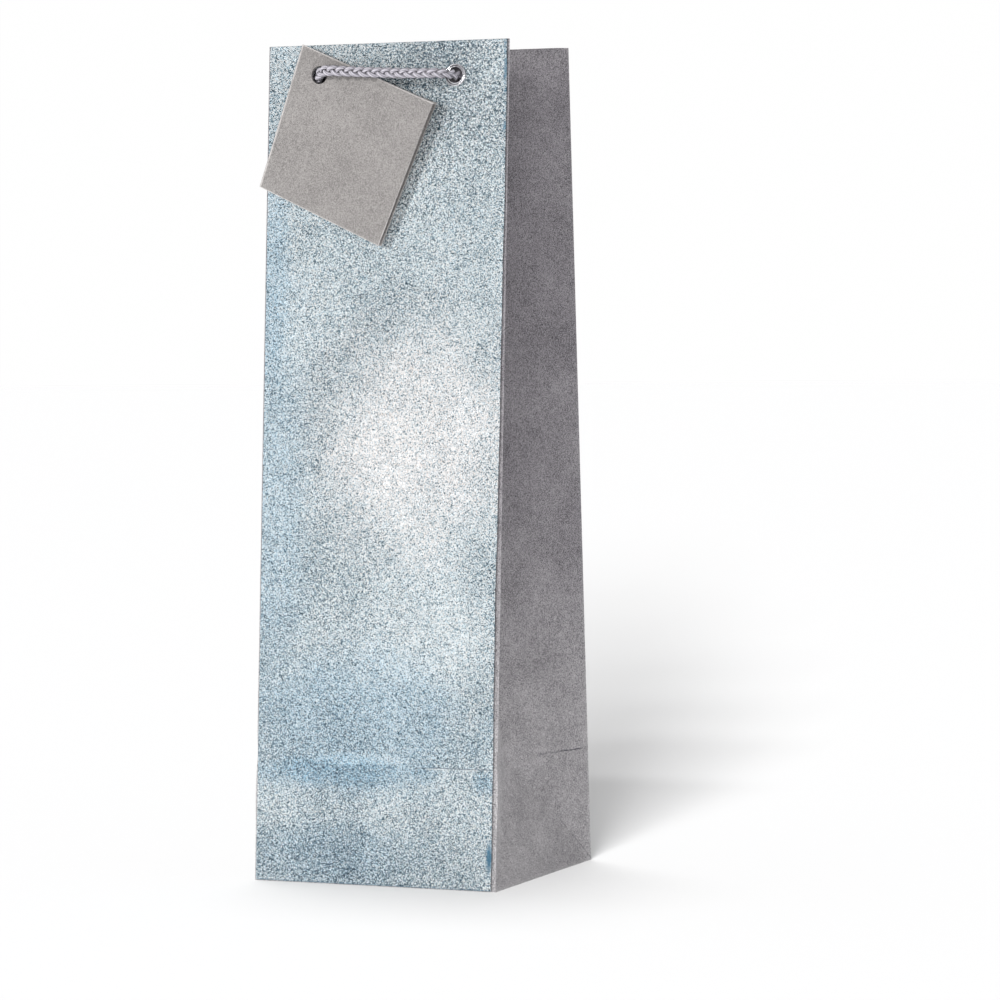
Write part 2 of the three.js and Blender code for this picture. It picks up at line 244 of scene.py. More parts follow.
def lines(start, end, step, holes=(), at=()):
    """Grid lines from start to end about step apart, with eight even ones across each hole's square and one at
    each of the given places."""
    fixed = [start, end, *at]
    blocks = [(centre - half, centre + half) for centre, half in holes]
    inside = [np.linspace(low, high, 9) for low, high in blocks]
    stops = np.unique(np.concatenate([fixed, *[block[[0, -1]] for block in inside]]))
    parts = [stops]
    for low, high in zip(stops[:-1], stops[1:]):
        parts.append(np.linspace(low, high, max(2, int(math.ceil((high - low) / step)) + 1)))
    every = np.unique(np.round(np.concatenate(parts), 6))
    for low, high in blocks:
        every = every[(every <= low + 1e-6) | (every >= high - 1e-6)]
    return np.unique(np.round(np.concatenate([every, *inside]), 6))


# Lines across a face, with and without the squares round the cord holes
HEM_LINES = lines(-WIDTH / 2, WIDTH / 2, ACROSS_STEP, BORES)
PLAIN_LINES = lines(-WIDTH / 2, WIDTH / 2, ACROSS_STEP)


# ---------------------------------------------------------------- shape of the bag
def face_bow(x, up):
    """How far a face stands out of its plane: a shallow swell in the middle of the panel, two long ripples and
    the narrow groove of the base score. It dies away before the hem, where the boards keep the paper flat."""
    fade = np.clip((PANEL_HEIGHT - 45 - up) / 60, 0, 1)
    fade = fade * fade * (3 - 2 * fade)
    swell = 0.35 * np.sin(np.pi * np.clip(up / 310, 0, 1)) * np.cos(np.pi * x / WIDTH)
    ripple = 0.12 * np.sin(x / 17 + up / 41) * np.sin(up / 29) * np.cos(np.pi * x / WIDTH)
    groove = -0.16 * np.exp(-(((up - SCORE) / 0.45) ** 2))
    return fade * (swell + ripple) + groove


def on_face(side, x, up, out):
    """Points of the front or the back from the distances across, up and out of the face."""
    turn = 1.0 if side == "front" else -1.0
    x, up, out = np.broadcast_arrays(x, up, out)
    y = -DEPTH / 2 + up * SIN - out * COS
    return np.stack([turn * x, turn * y, up * COS + out * SIN], -1)


def crease_depth(z):
    """How far the central crease stands in from the side at height z."""
    half = DEPTH / 2 - np.maximum(z, APEX) * TAN
    return np.sqrt((DEPTH / 2) ** 2 - half**2) * np.minimum(1, z / APEX)


def gusset_profile(z, inset):
    """The half gusset's corner at the face, its diagonal crease and its central crease, as x and y over z, set
    in by a distance. Below the apex the diagonal crease runs from the base's corner to the apex."""
    face_y = DEPTH / 2 - z * TAN - SKIN / COS
    depth = crease_depth(z)
    share = np.clip(1 - z / APEX, 0.0, 0.97)
    fold_depth = np.where(z < APEX, depth, depth * (1 - share))
    run = face_y * (1 - share)
    set_in = inset * np.hypot(fold_depth, run) / run
    return face_y, share * face_y, fold_depth, depth, run, set_in


def face_corner(z, face_inset, gusset_inset, turn=1):
    """Where a skin of the face meets the same skin of the gusset: half width and half depth. The front's folds
    are nipped in a little above the base score and swell below it."""
    face_y, _, fold_depth, _, run, set_in = gusset_profile(z, gusset_inset)
    y = face_y - face_inset / COS
    pinch = (-0.4 * np.exp(-(((z - 54) / 5) ** 2)) + 0.3 * np.exp(-(((z - 36) / 10) ** 2))) * (turn < 0)
    return WIDTH / 2 - fold_depth * (face_y - y) / run - set_in + pinch, y


def gusset_skin(t, z, face_inset, gusset_inset, side, turn):
    """A half gusset from the face, t = 0, to the central crease, t = 1. Across it runs two straight stretches
    that meet at the diagonal crease, with slow ripples and a shallow groove along the base score."""
    corner_x, corner_y = face_corner(z, face_inset, gusset_inset, turn)
    _, fold_y, fold_depth, depth, _, set_in = gusset_profile(z, gusset_inset)
    y = corner_y * (1 - t)
    beyond = y > fold_y
    along = np.clip((corner_y - y) / np.maximum(corner_y - fold_y, 1e-6), 0, 1)
    fold_x = WIDTH / 2 - fold_depth - set_in
    crease_x = WIDTH / 2 - depth - set_in
    outer = corner_x + (fold_x - corner_x) * along
    inner = crease_x + (fold_x - crease_x) * np.clip(y / np.maximum(fold_y, 1e-6), 0, 1)
    x = np.where(beyond, outer, inner)
    held = np.sin(np.pi * t) * np.clip(z / 40, 0, 1) * np.clip((TOP - z) / 60, 0, 1)
    ripple = 0.5 * np.sin(z / 37 + 1.3 * side) * np.sin(2.2 * t + z / 90) + 0.22 * np.sin(z / 13 + 5 * t)
    groove = -0.2 * np.exp(-(((z - SCORE - 1.2 + 1.4 * (1 - t)) / 0.5) ** 2))
    x = x + held * ripple + groove * np.clip(z / 10, 0, 1)
    drop = 3.5 * t * np.clip((z - (TOP - 20)) / 20, 0, 1) ** 2
    return np.stack([side * x, turn * y, z - drop], -1)


def face_skin(x, z, side, face_inset, gusset_inset):
    """A skin of the front or the back: lines near the sides are drawn in so that they end at its corners."""
    turn = 1.0 if side == "front" else -1.0
    corner_x, corner_y = face_corner(z, face_inset, gusset_inset, -turn)
    pull = np.clip((abs(x) - 42) / (WIDTH / 2 - 42), 0, 1)
    pull = pull * pull * (3 - 2 * pull)
    across = x * (1 + (corner_x / (WIDTH / 2) - 1) * pull)
    bow = face_bow(x, z / COS) * (1 - pull)
    return np.stack([turn * across, turn * -(corner_y + bow / COS), z + 0 * x], -1)


def paper_skin(levels, face_inset, gusset_inset):
    """One whole skin of the folded sheet, outside faces anticlockwise: two faces and four half gussets over the
    same levels. Gives points and quads."""
    parts, quads, count = [], [], 0
    offset = SKIN + face_inset
    reaches_top = levels[-1] >= TOP - 1
    holes = [(x, EYELET_UP - offset * TAN, HOLE, half) for x, half in BORES] if reaches_top else []
    xs = HEM_LINES if reaches_top else PLAIN_LINES
    for side in ("front", "back"):
        flat, cells, _, _ = punched_grid(xs, levels / COS, holes)
        parts.append(face_skin(flat[:, 0], flat[:, 1] * COS, side, face_inset, gusset_inset))
        quads.append(cells + count)
        count += len(flat)
    t, z = np.meshgrid(GUSSET_LINES, levels, indexing="ij")
    for side in (1, -1):
        for turn in (-1, 1):
            parts.append(gusset_skin(t, z, face_inset, gusset_inset, side, turn).reshape(-1, 3))
            cells = quads_of_grid(len(GUSSET_LINES), len(levels), start=count)
            quads.append(cells if side * turn < 0 else cells[:, ::-1])
            count += t.size
    return np.concatenate(parts), np.concatenate(quads)


def rim_loop(z, face_inset, gusset_inset, xs):
    """The skin's outline at one level, anticlockwise from the front's left corner."""
    level = np.full_like(xs, z)
    front = face_skin(xs, level, "front", face_inset, gusset_inset)
    back = face_skin(xs, level, "back", face_inset, gusset_inset)
    deep = np.full_like(GUSSET_LINES, z)
    halves = {
        (side, turn): gusset_skin(GUSSET_LINES, deep, face_inset, gusset_inset, side, turn)
        for side in (1, -1) for turn in (1, -1)
    }
    return np.concatenate([
        front[:-1], halves[1, -1][:-1], halves[1, 1][::-1][:-1],
        back[:-1], halves[-1, 1][:-1], halves[-1, -1][::-1][:-1],
    ])


def strip(first, second):
    """Points and quads of a closed band between two loops of equally many points."""
    count = len(first)
    after = np.roll(np.arange(count), -1)
    here = np.arange(count)
    return np.concatenate([first, second]), np.stack([here, after, after + count, here + count], -1)


def disc(loop, centre, rings, upwards):
    """Points and quads that fill a loop with rings that shrink to a small one, and a fan of triangles there."""
    shares = np.linspace(1, 0.02, rings)[:, None, None]
    points = (centre + (loop - centre)[None] * shares).reshape(-1, 3)
    quads = quads_of_grid(rings, len(loop), close_columns=True)
    middle = (rings - 1) * len(loop) + np.arange(len(loop))
    tip = np.full(len(loop), len(points))
    fan = np.stack([middle, tip, np.roll(middle, -1)], -1)
    if upwards:
        quads, fan = quads[:, ::-1], fan[:, ::-1]
    return np.concatenate([points, [centre]]), quads, fan


def add_paper_body(material):
    """The folded sheet as one closed shell: outer skin, inner skin with the thicker hem, rim, hem's lower edge,
    hole walls, the floor and the underside."""
    common = [z / COS for z in (APEX, *NEAR_SCORE)]
    outer_square, hem_square = ((EYELET_UP - (SKIN + inset) * TAN, HOLE_SQUARE) for inset in (0.0, FACE_HEM))
    skins = [
        (lines(0.0, TOP / COS, 3.0, [outer_square], common), 0.0, 0.0),
        (lines(FLOOR / COS, HEM_BOTTOM / COS, 3.4, (), common), PAPER, PAPER),
        (lines(HEM_BOTTOM / COS, TOP / COS, 3.4, [hem_square]), FACE_HEM, GUSSET_HEM),
    ]
    points, quads, triangles = [], [], []

    def join(more, cells=(), fan=()):
        """Adds a stretch of the shell, whose quads and triangles are numbered from its own first point."""
        count = sum(len(part) for part in points)
        points.append(more)
        if len(cells):
            quads.append(cells + count)
        if len(fan):
            triangles.append(fan + count)

    for up_lines, face_inset, gusset_inset in skins:
        skin, cells = paper_skin(up_lines * COS, face_inset, gusset_inset)
        join(skin, cells[:, ::-1] if face_inset else cells)
    join(*strip(rim_loop(TOP, 0, 0, HEM_LINES), rim_loop(TOP, FACE_HEM, GUSSET_HEM, HEM_LINES)))
    upper = rim_loop(HEM_BOTTOM, FACE_HEM, GUSSET_HEM, HEM_LINES)
    band, cells = bridge(upper, rim_loop(HEM_BOTTOM, PAPER, PAPER, PLAIN_LINES))
    join(band, fan=cells)
    for x in (-EYELET_X, EYELET_X):
        for side in ("front", "back"):
            join(*hole_wall(side, x))
    for z, inset, xs, upwards in ((0.0, 0.0, HEM_LINES, False), (FLOOR, PAPER, PLAIN_LINES, True)):
        join(*disc(rim_loop(z, inset, inset, xs), np.array([0, 0, z]), 14, upwards))
    return add_piece("bag_paper", np.concatenate(points), [np.concatenate(quads), np.concatenate(triangles)],
                     "bag", material, merge=True)


def bridge(outer, inner):
    """Triangles between two loops of different counts: each point's share of the way round from the first point
    is worked out, and the steps of both loops are taken in the order of the shares that they lead to."""
    count_a, count_b = len(outer), len(inner)

    def shares(loop):
        """The share of the way round at each point after the first, and 1 for the return to it."""
        steps = np.concatenate([[0], np.cumsum(np.linalg.norm(np.diff(loop, axis=0), axis=1))])
        return np.concatenate([(steps / (steps[-1] + np.linalg.norm(loop[0] - loop[-1])))[1:], [1.0]])

    order = np.argsort(np.concatenate([shares(outer), shares(inner)]), kind="stable")
    on_a = (order < count_a).astype(int)
    a = np.cumsum(on_a) - on_a
    b = np.cumsum(1 - on_a) - (1 - on_a)
    tip = np.where(on_a == 1, (a + 1) % count_a, count_a + (b + 1) % count_b)
    return np.concatenate([outer, inner]), np.stack([a % count_a, tip, count_a + b % count_b], -1)


def hole_wall(side, x):
    """The round wall of a cord hole through the hem, from the outer skin to the inner one."""
    hole_up = EYELET_UP - SKIN * TAN
    up_lines = lines(300.0, TOP / COS, 3.0, [(hole_up, HOLE_SQUARE)])
    flat, _, _, loops = punched_grid(HEM_LINES, up_lines, [(x, hole_up, HOLE, HOLE_SQUARE)])
    ring = flat[loops[0]]
    outer = face_skin(ring[:, 0], ring[:, 1] * COS, side, 0, 0)
    shift = (SKIN + FACE_HEM) * TAN - SKIN * TAN
    inner = face_skin(ring[:, 0], (ring[:, 1] - shift) * COS, side, FACE_HEM, GUSSET_HEM)
    return strip(outer, inner)


def add_glitter_sheet(side, material):
    """A glitter sheet on a face: thin, cut a little short of the folds, and bowed with the paper under it."""
    us = lines(-WIDTH / 2 + 0.7, WIDTH / 2 - 2.0, ACROSS_STEP, BORES)
    vs = lines(0.4, PANEL_HEIGHT - 0.1, 2.8, [(EYELET_UP, HOLE_SQUARE)], NEAR_SCORE)
    grid = punched_grid(us, vs, [(x, EYELET_UP, HOLE, half) for x, half in BORES])

    def wavy(x, up):
        """The right edge wanders a little and runs wider towards the top."""
        edge_right = np.clip((x - (WIDTH / 2 - 6)) / 4, 0, 1)
        wave = 0.12 * np.sin(up / 23) + 0.07 * np.sin(up / 7.3) + 1.0 * np.clip((up - 120) / 160, 0, 1)
        return x + edge_right * wave

    def skin(out):
        return lambda x, up: on_face(side, wavy(x, up), up, out + face_bow(x, up))

    sheet = slab(f"{side}_glitter", grid, skin(0.0), skin(-GLITTER), "bag", material)
    sharpen(sheet, bevel=0.1)
    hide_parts(f"{side}_glitter_sheet")


# ---------------------------------------------------------------- eyelets
def add_eyelet(side, name, x, material):
    """A pressed eyelet turned about the hole's axis: a domed outer ring, a groove and a rolled inner lip on the
    face, a plain barrel, and an end rolled outwards over the washer inside."""
    washer_top = HEM_INSIDE + GAP + 0.4
    start = washer_top + GAP
    profile = np.array([
        (3.05, -start), (3.08, -start - 0.22), (3.2, -start - 0.42), (3.42, -start - 0.54), (3.7, -start - 0.56),
        (4.0, -start - 0.46), (4.25, -start - 0.26), (4.4, -start - 0.02), (4.2, -start + 0.03),
        (3.6, -start + 0.02), (3.4, -start + 0.12), (3.4, -2.0), (3.4, 0.24), (3.6, GAP + 0.02), (4.1, GAP),
        (4.62, GAP), (4.74, 0.38), (4.75, 0.5), (4.68, 0.66), (4.52, 0.79), (4.3, 0.85), (4.08, 0.81),
        (3.93, 0.7), (3.84, 0.58), (3.76, 0.53), (3.66, 0.57), (3.55, 0.65), (3.42, 0.68), (3.29, 0.63),
        (3.17, 0.49), (3.09, 0.28), (3.05, 0.0), (3.05, -1.6),
    ])
    angles = np.linspace(0, 2 * np.pi, 72, endpoint=False)
    across = x + profile[:, 0][:, None] * np.cos(angles)
    up = EYELET_UP + profile[:, 0][:, None] * np.sin(angles)
    out = np.broadcast_to(profile[:, 1][:, None], across.shape)
    points = on_face(side, across, up, out).reshape(-1, 3)
    faces = quads_of_grid(len(profile), len(angles), close_rows=True, close_columns=True)
    eyelet = add_piece(f"{name}_ring", points, [faces], "bag", material)
    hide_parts(f"{name}_eyelet")


# ---------------------------------------------------------------- cords
def smooth_path(points, per_span=40):
    """A centripetal Catmull-Rom curve through points: each span is a cubic whose end slopes come from the spans
    beside it, weighted by the square roots of their lengths."""
    p = np.asarray(points, float)
    p = np.concatenate([[2 * p[0] - p[1]], p, [2 * p[-1] - p[-2]]])
    step = np.maximum(np.linalg.norm(np.diff(p, axis=0), axis=1) ** 0.5, 1e-4)[:, None]
    p0, p1, p2, p3 = p[:-3], p[1:-2], p[2:-1], p[3:]
    d0, d1, d2 = step[:-2], step[1:-1], step[2:]
    m1 = ((p1 - p0) / d0 - (p2 - p0) / (d0 + d1) + (p2 - p1) / d1) * d1
    m2 = ((p2 - p1) / d1 - (p3 - p1) / (d1 + d2) + (p3 - p2) / d2) * d1
    t = np.linspace(0, 1, per_span, endpoint=False)[None, :, None]
    p1, p2, m1, m2 = (a[:, None, :] for a in (p1, p2, m1, m2))
    curve = p1 + m1 * t + (3 * (p2 - p1) - 2 * m1 - m2) * t**2 + (2 * (p1 - p2) + m1 + m2) * t**3
    return np.concatenate([curve.reshape(-1, 3), [points[-1]]])


def even_path(curve, step):
    """The same curve with its points an equal way apart, and the distance along it of each."""
    along = np.concatenate([[0], np.cumsum(np.linalg.norm(np.diff(curve, axis=0), axis=1))])
    wanted = np.linspace(0, along[-1], int(along[-1] / step) + 1)
    return np.stack([np.interp(wanted, along, curve[:, k]) for k in range(3)], -1), wanted


def unit(vectors):
    """Vectors scaled to length one."""
    return vectors / np.maximum(np.linalg.norm(vectors, axis=-1, keepdims=True), 1e-12)


def tubes(paths, sides_dir, wide, thick, around):
    """Closed tubes of oval section along several paths of equally many points: rings around each point, with a
    dome of three smaller rings and a pole at both ends. Gives points, quads, triangles and a uv."""
    count = paths.shape[1]
    tangent = unit(np.gradient(paths, axis=1))
    flat = unit(np.cross(tangent, sides_dir))
    thin = unit(np.cross(flat, tangent))
    angles = np.linspace(0, 2 * np.pi, around, endpoint=False)
    ring = (flat[:, :, None, :] * wide * np.cos(angles)[None, None, :, None]
            + thin[:, :, None, :] * thick * np.sin(angles)[None, None, :, None])
    dome = np.array([0.35, 0.75, 0.94])
    size = np.concatenate([dome, np.ones(count), dome[::-1]])
    rise = (1 - dome**2) ** 0.5
    reach = np.concatenate([-rise, np.zeros(count), rise[::-1]]) * min(wide, thick)
    pick = np.concatenate([[0, 0, 0], np.arange(count), [count - 1] * 3])
    spine = paths[:, pick] + tangent[:, pick] * reach[None, :, None]
    body = spine[:, :, None, :] + ring[:, pick] * size[None, :, None, None]
    rows = len(size)
    points, quads, triangles, uvs = [], [], [], []
    start = 0
    for number, tube in enumerate(body):
        tips = np.stack([tube[0].mean(0) - tangent[number, 0] * thick * 0.1,
                         tube[-1].mean(0) + tangent[number, -1] * thick * 0.1])
        points.append(np.concatenate([tube.reshape(-1, 3), tips]))
        quads.append(quads_of_grid(rows, around, close_columns=True, start=start))
        first, last = start + rows * around, start + rows * around + 1
        here = np.arange(around)
        after = np.roll(here, -1)
        triangles.append(np.stack([start + here, start + after, np.full(around, first)], -1))
        end = start + (rows - 1) * around
        triangles.append(np.stack([end + after, end + here, np.full(around, last)], -1))
        along = np.concatenate([[0, 0, 0], np.cumsum(np.concatenate([[0], np.linalg.norm(
            np.diff(paths[number], axis=0), axis=1)])), [0, 0, 0]])
        along[-3:] = along[-4]
        uv = np.stack(np.broadcast_arrays(along[:, None] / 10, angles[None] / (2 * np.pi) + number), -1)
        uvs.append(np.concatenate([uv.reshape(-1, 2), [[0, number], [along[-1] / 10, number]]]))
        start += rows * around + 2
    return np.concatenate(points), np.concatenate(quads), np.concatenate(triangles), np.concatenate(uvs)


def plait(centre, along, lateral, outward, width, period, around=12, squeeze=1.0):
    """Three strands of a flat plait on a centre line: each swings from side to side once in a period and dips
    twice, a third of a period after the one before."""
    phase = 2 * np.pi * np.arange(3)[:, None] / 3
    turn = 2 * np.pi * along[None] / period + phase
    strand = 0.2 * width
    swing = (width / 2 - strand) * squeeze
    paths = (centre[None] + lateral[None] * (swing * np.sin(turn))[..., None]
             + outward[None] * (0.2 * width * np.sin(2 * turn))[..., None])
    tilt = outward[None] + 0 * paths
    return tubes(paths, tilt, strand, 0.85 * strand, around)


def add_cord(side, route, material):
    """A handle cord: a plait on the smooth route, a little wider at the tag than at the far eyelet."""
    across, along = even_path(smooth_path(route), 0.33)
    centre = on_face(side, *across.T)
    turn = 1.0 if side == "front" else -1.0
    x_axis = np.array([turn, 0, 0])
    out_axis = np.array([0, -turn * COS, SIN])
    tangent = unit(np.gradient(centre, axis=0))
    share = np.clip(across[:, 0] / EYELET_X, -1, 1)[:, None]
    guide = x_axis * share + out_axis * (1 - abs(share))
    lateral = unit(np.cross(guide, tangent))
    outward = unit(np.cross(tangent, lateral))
    squeeze = (1.08 - 0.14 * np.clip((across[:, 0] + 30) / 60, 0, 1))[None]
    points, quads, triangles, uv = plait(centre, along, lateral, outward, CORD, PLAIT_PERIOD, squeeze=squeeze)
    cord = add_piece(f"{side}_handle_cord", points, [quads, triangles], "bag", material, uv=uv)
    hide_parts(f"{side}_cord")
    return cord, centre[::6] * MM, along[-1] * MM


def add_knot(side, name, route_end, seed, material):
    """A knot that stops the cord's end: a plait carried along a trefoil, which is the line of an overhand knot,
    and below it the loose yarns of the cut end, which spread a little as they hang."""
    rng = np.random.default_rng(seed)
    x, up, out = route_end
    top = on_face(side, np.array([x]), np.array([up]), np.array([out]))[0]
    middle = top + np.array([0, 0, -5.6])
    t = np.linspace(0, 2 * np.pi, 150)
    spin = rng.uniform(0, 2 * np.pi)
    knot = np.stack([np.sin(t) + 2 * np.sin(2 * t), np.cos(t) - 2 * np.cos(2 * t), -2.7 * np.sin(3 * t)], -1)
    knot *= 0.98
    turned = np.stack([knot[:, 0] * np.cos(spin) - knot[:, 1] * np.sin(spin),
                       knot[:, 0] * np.sin(spin) + knot[:, 1] * np.cos(spin), knot[:, 2]], -1) + middle
    centre, along = even_path(turned, 0.4)
    tangent = unit(np.gradient(centre, axis=0))
    outward = unit(centre - middle - tangent * np.sum((centre - middle) * tangent, -1, keepdims=True))
    lateral = unit(np.cross(outward, tangent))
    points, quads, triangles, uv = plait(centre, along, lateral, outward, 3.9, 11.4, around=10)
    yarns = 34
    angle = rng.uniform(0, 2 * np.pi, yarns)
    radius = 1.75 * np.sqrt(rng.uniform(0, 1, yarns))
    length = rng.uniform(6.2, 8.6, yarns)
    fall = np.linspace(0, 1, 12)
    spread = radius[:, None] * (1 + 0.42 * fall**1.5) + 0.12 * np.sin(9 * fall + angle[:, None])
    curl = angle[:, None] + 0.5 * fall * rng.uniform(-1, 1, yarns)[:, None]
    paths = np.stack([middle[0] + spread * np.cos(curl), middle[1] + spread * np.sin(curl),
                      middle[2] - 3.6 - length[:, None] * fall], -1)
    sideways = np.broadcast_to(np.array([1.0, 0.3, 0.0]), paths.shape)
    more, more_quads, more_triangles, more_uv = tubes(paths, sideways, 0.3, 0.3, 6)
    count = len(points)
    piece = add_piece(
        f"{name}_overhand", np.concatenate([points, more]),
        [np.concatenate([quads, more_quads + count]), np.concatenate([triangles, more_triangles + count])],
        "bag", material, uv=np.concatenate([uv, more_uv]),
    )
    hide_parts(name)
    return piece


# ---------------------------------------------------------------- tag
def tag_frame():
    """The tag's own axes at its hole, in the bag's frame: along its top edge, up its fold, out of its front."""
    face = Matrix.Rotation(-LEAN, 3, "X")
    turned = Matrix.Rotation(TAG_TURN, 3, "Y") @ Matrix.Rotation(TAG_LEAN, 3, "X")
    turned = turned @ Matrix.Rotation(-TAG_TILT, 3, "Z")
    axes = np.array(face @ turned)
    return axes[:, 0], axes[:, 2], -axes[:, 1]


def tag_warp(u, v):
    """Card that has been handled: its corners beside the fold's top and across from it curl forwards, the other
    two lie back, and a slow wave runs through it."""
    du, dv = (u - 20.45) / 32, (v + 25) / 32
    return -0.4 * du * dv + 0.1 * np.sin(2.4 * du + 1.1) * np.cos(1.9 * dv)


def tag_outline(u, v):
    """Squares the tag's grid off to its real outline: lines near the free edge and near the top and foot are
    moved so that the grid's corners meet the card's, while those round the hole stay."""
    right = np.clip((u - 8) / (TAG_TOP_FREE[0] - 8), 0, 1)
    high = np.clip((v - TAG_FOOT_FOLD[1]) / (TAG_TOP_FOLD[1] - TAG_FOOT_FOLD[1]), 0, 1)
    free_u = TAG_FOOT_FREE[0] + (TAG_TOP_FREE[0] - TAG_FOOT_FREE[0]) * high
    across = u + right * (free_u - TAG_TOP_FREE[0])
    from_fold = across + TAG_FROM_FOLD
    top_drop = (TAG_TOP_FREE[1] - TAG_TOP_FOLD[1]) * from_fold / (TAG_TOP_FREE[0] + TAG_FROM_FOLD)
    foot_drop = (TAG_FOOT_FREE[1] - TAG_FOOT_FOLD[1]) * from_fold / (TAG_FOOT_FREE[0] + TAG_FROM_FOLD)
    near_top = np.clip((v - 5.4) / (TAG_TOP_FOLD[1] - 5.4), 0, 1)
    near_foot = np.clip((-8 - v) / (-8 - TAG_FOOT_FOLD[1]), 0, 1)
    return across, v + top_drop * near_top + foot_drop * near_foot


def add_tag(material):
    """Two leaves of one folded card. The back leaf carries the round of the fold, which turns half a circle from
    its own middle layer to the front leaf's."""
    along, upwards, outwards = tag_frame()
    origin = on_face("front", *(np.array([c]) for c in TAG_HOLE))[0]
    hole = (0.0, 0.0, TAG_BORE, TAG_SQUARE)
    vs = lines(TAG_FOOT_FOLD[1], TAG_TOP_FOLD[1], 2.0, [(0.0, TAG_SQUARE)])
    bend = (LEAF + GAP) / 2

    def placed(across, v, out):
        """Points of the bag's frame from distances along the tag's own axes."""
        return origin + across[:, None] * along + v[:, None] * upwards + out[:, None] * outwards

    def back_skin(offset):
        """A layer of the back leaf: flat up to the fold, and half a circle beyond it."""
        def place(u, v):
            over = np.clip(-TAG_FROM_FOLD - u, 0, None) / bend
            base, v = tag_outline(np.maximum(u, -TAG_FROM_FOLD), v)
            across = base - np.where(over > 0, (bend - offset) * np.sin(over), 0)
            out = LEAF / 2 + np.where(over > 0, bend - (bend - offset) * np.cos(over), offset)
            return placed(across, v, out + tag_warp(base, v))
        return place

    def front_skin(offset):
        """A layer of the front leaf: flat, and opened about the fold by a small angle."""
        def place(u, v):
            across, v = tag_outline(u, v)
            far, height = across + TAG_FROM_FOLD, GAP / 2 + offset
            out = LEAF + GAP / 2 + far * math.sin(TAG_OPEN) + height * math.cos(TAG_OPEN)
            turned = -TAG_FROM_FOLD + far * math.cos(TAG_OPEN) - height * math.sin(TAG_OPEN)
            return placed(turned, v, out + tag_warp(across, v))
        return place

    round_fold = -TAG_FROM_FOLD - np.linspace(0, math.pi * bend, 9)[1:]
    us = lines(-TAG_FROM_FOLD, TAG_TOP_FREE[0], 2.0, [(0.0, TAG_SQUARE)])
    back = slab("tag_card_back", punched_grid(np.unique(np.concatenate([us, round_fold])), vs, [hole]),
                back_skin(LEAF / 2), back_skin(-LEAF / 2), "tag", material)
    front = slab("tag_card_front", punched_grid(us, vs, [hole]), front_skin(LEAF), front_skin(0.0), "tag_cover",
                 material)
    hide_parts("tag_back_leaf")
    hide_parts("tag_front_leaf")
    for leaf in (back, front):
        sharpen(leaf, bevel=0.09)
    return back, front


# ---------------------------------------------------------------- node helpers
def feed(tree, sockets, values):
    """Puts each value into its socket: a link if it is another node's output, or else a plain value."""
    for key, value in values.items():
        if isinstance(value, bpy.types.NodeSocket):
            tree.links.new(value, sockets[key])
        else:
            sockets[key].default_value = value


def add_node(tree, kind, inputs=None, **settings):
    """A node with its settings and its inputs, each a value or another node's output."""
    made = tree.nodes.new(kind)
    for key, value in settings.items():
        setattr(made, key, value)
    feed(tree, made.inputs, inputs or {})
    return made


def maths(tree, operation, *values, clamp=False):
    """The result of one sum, product or other operation on values."""
    made = add_node(tree, "ShaderNodeMath", dict(enumerate(values)), operation=operation, use_clamp=clamp)
    return made.outputs[0]


def remap(tree, value, low, high, to_low=0.0, to_high=1.0, smooth=True):
    """A value carried from one range to another and held at its ends, eased in and out or along a line."""
    made = add_node(tree, "ShaderNodeMapRange", {"Value": value, "From Min": low, "From Max": high,
                                                "To Min": to_low, "To Max": to_high})
    made.interpolation_type = "SMOOTHSTEP" if smooth else "LINEAR"
    return made.outputs["Result"]


def blend_colour(tree, share, first, second, mode="MIX"):
    """The first colour mixed with the second by a share."""
    made = add_node(tree, "ShaderNodeMix", data_type="RGBA", blend_type=mode)
    feed(tree, made.inputs, {0: share, 6: first, 7: second})
    return made.outputs[2]


def noise(tree, vector, scale, detail=3.0, roughness=0.55, distortion=0.0):
    """Cloudy noise from 0 to 1; the scale is in features per metre."""
    return add_node(tree, "ShaderNodeTexNoise", {"Vector": vector, "Scale": scale, "Detail": detail,
                                                "Roughness": roughness, "Distortion": distortion}).outputs["Fac"]


def colour(red, green, blue):
    """A colour given as display values from 0 to 255, made linear."""
    values = np.array([red, green, blue]) / 255
    return (*np.where(values <= 0.04045, values / 12.92, ((values + 0.055) / 1.055) ** 2.4), 1.0)


def new_group(name, inputs, outputs):
    """A shader node group with named sockets: each input is (name, socket kind, value)."""
    group = bpy.data.node_groups.new(name, "ShaderNodeTree")
    for label, kind, value in inputs:
        socket = group.interface.new_socket(label, in_out="INPUT", socket_type=kind)
        if value is not None:
            socket.default_value = value
    for label, kind in outputs:
        group.interface.new_socket(label, in_out="OUTPUT", socket_type=kind)
    return group, group.nodes.new("NodeGroupInput").outputs, group.nodes.new("NodeGroupOutput").inputs


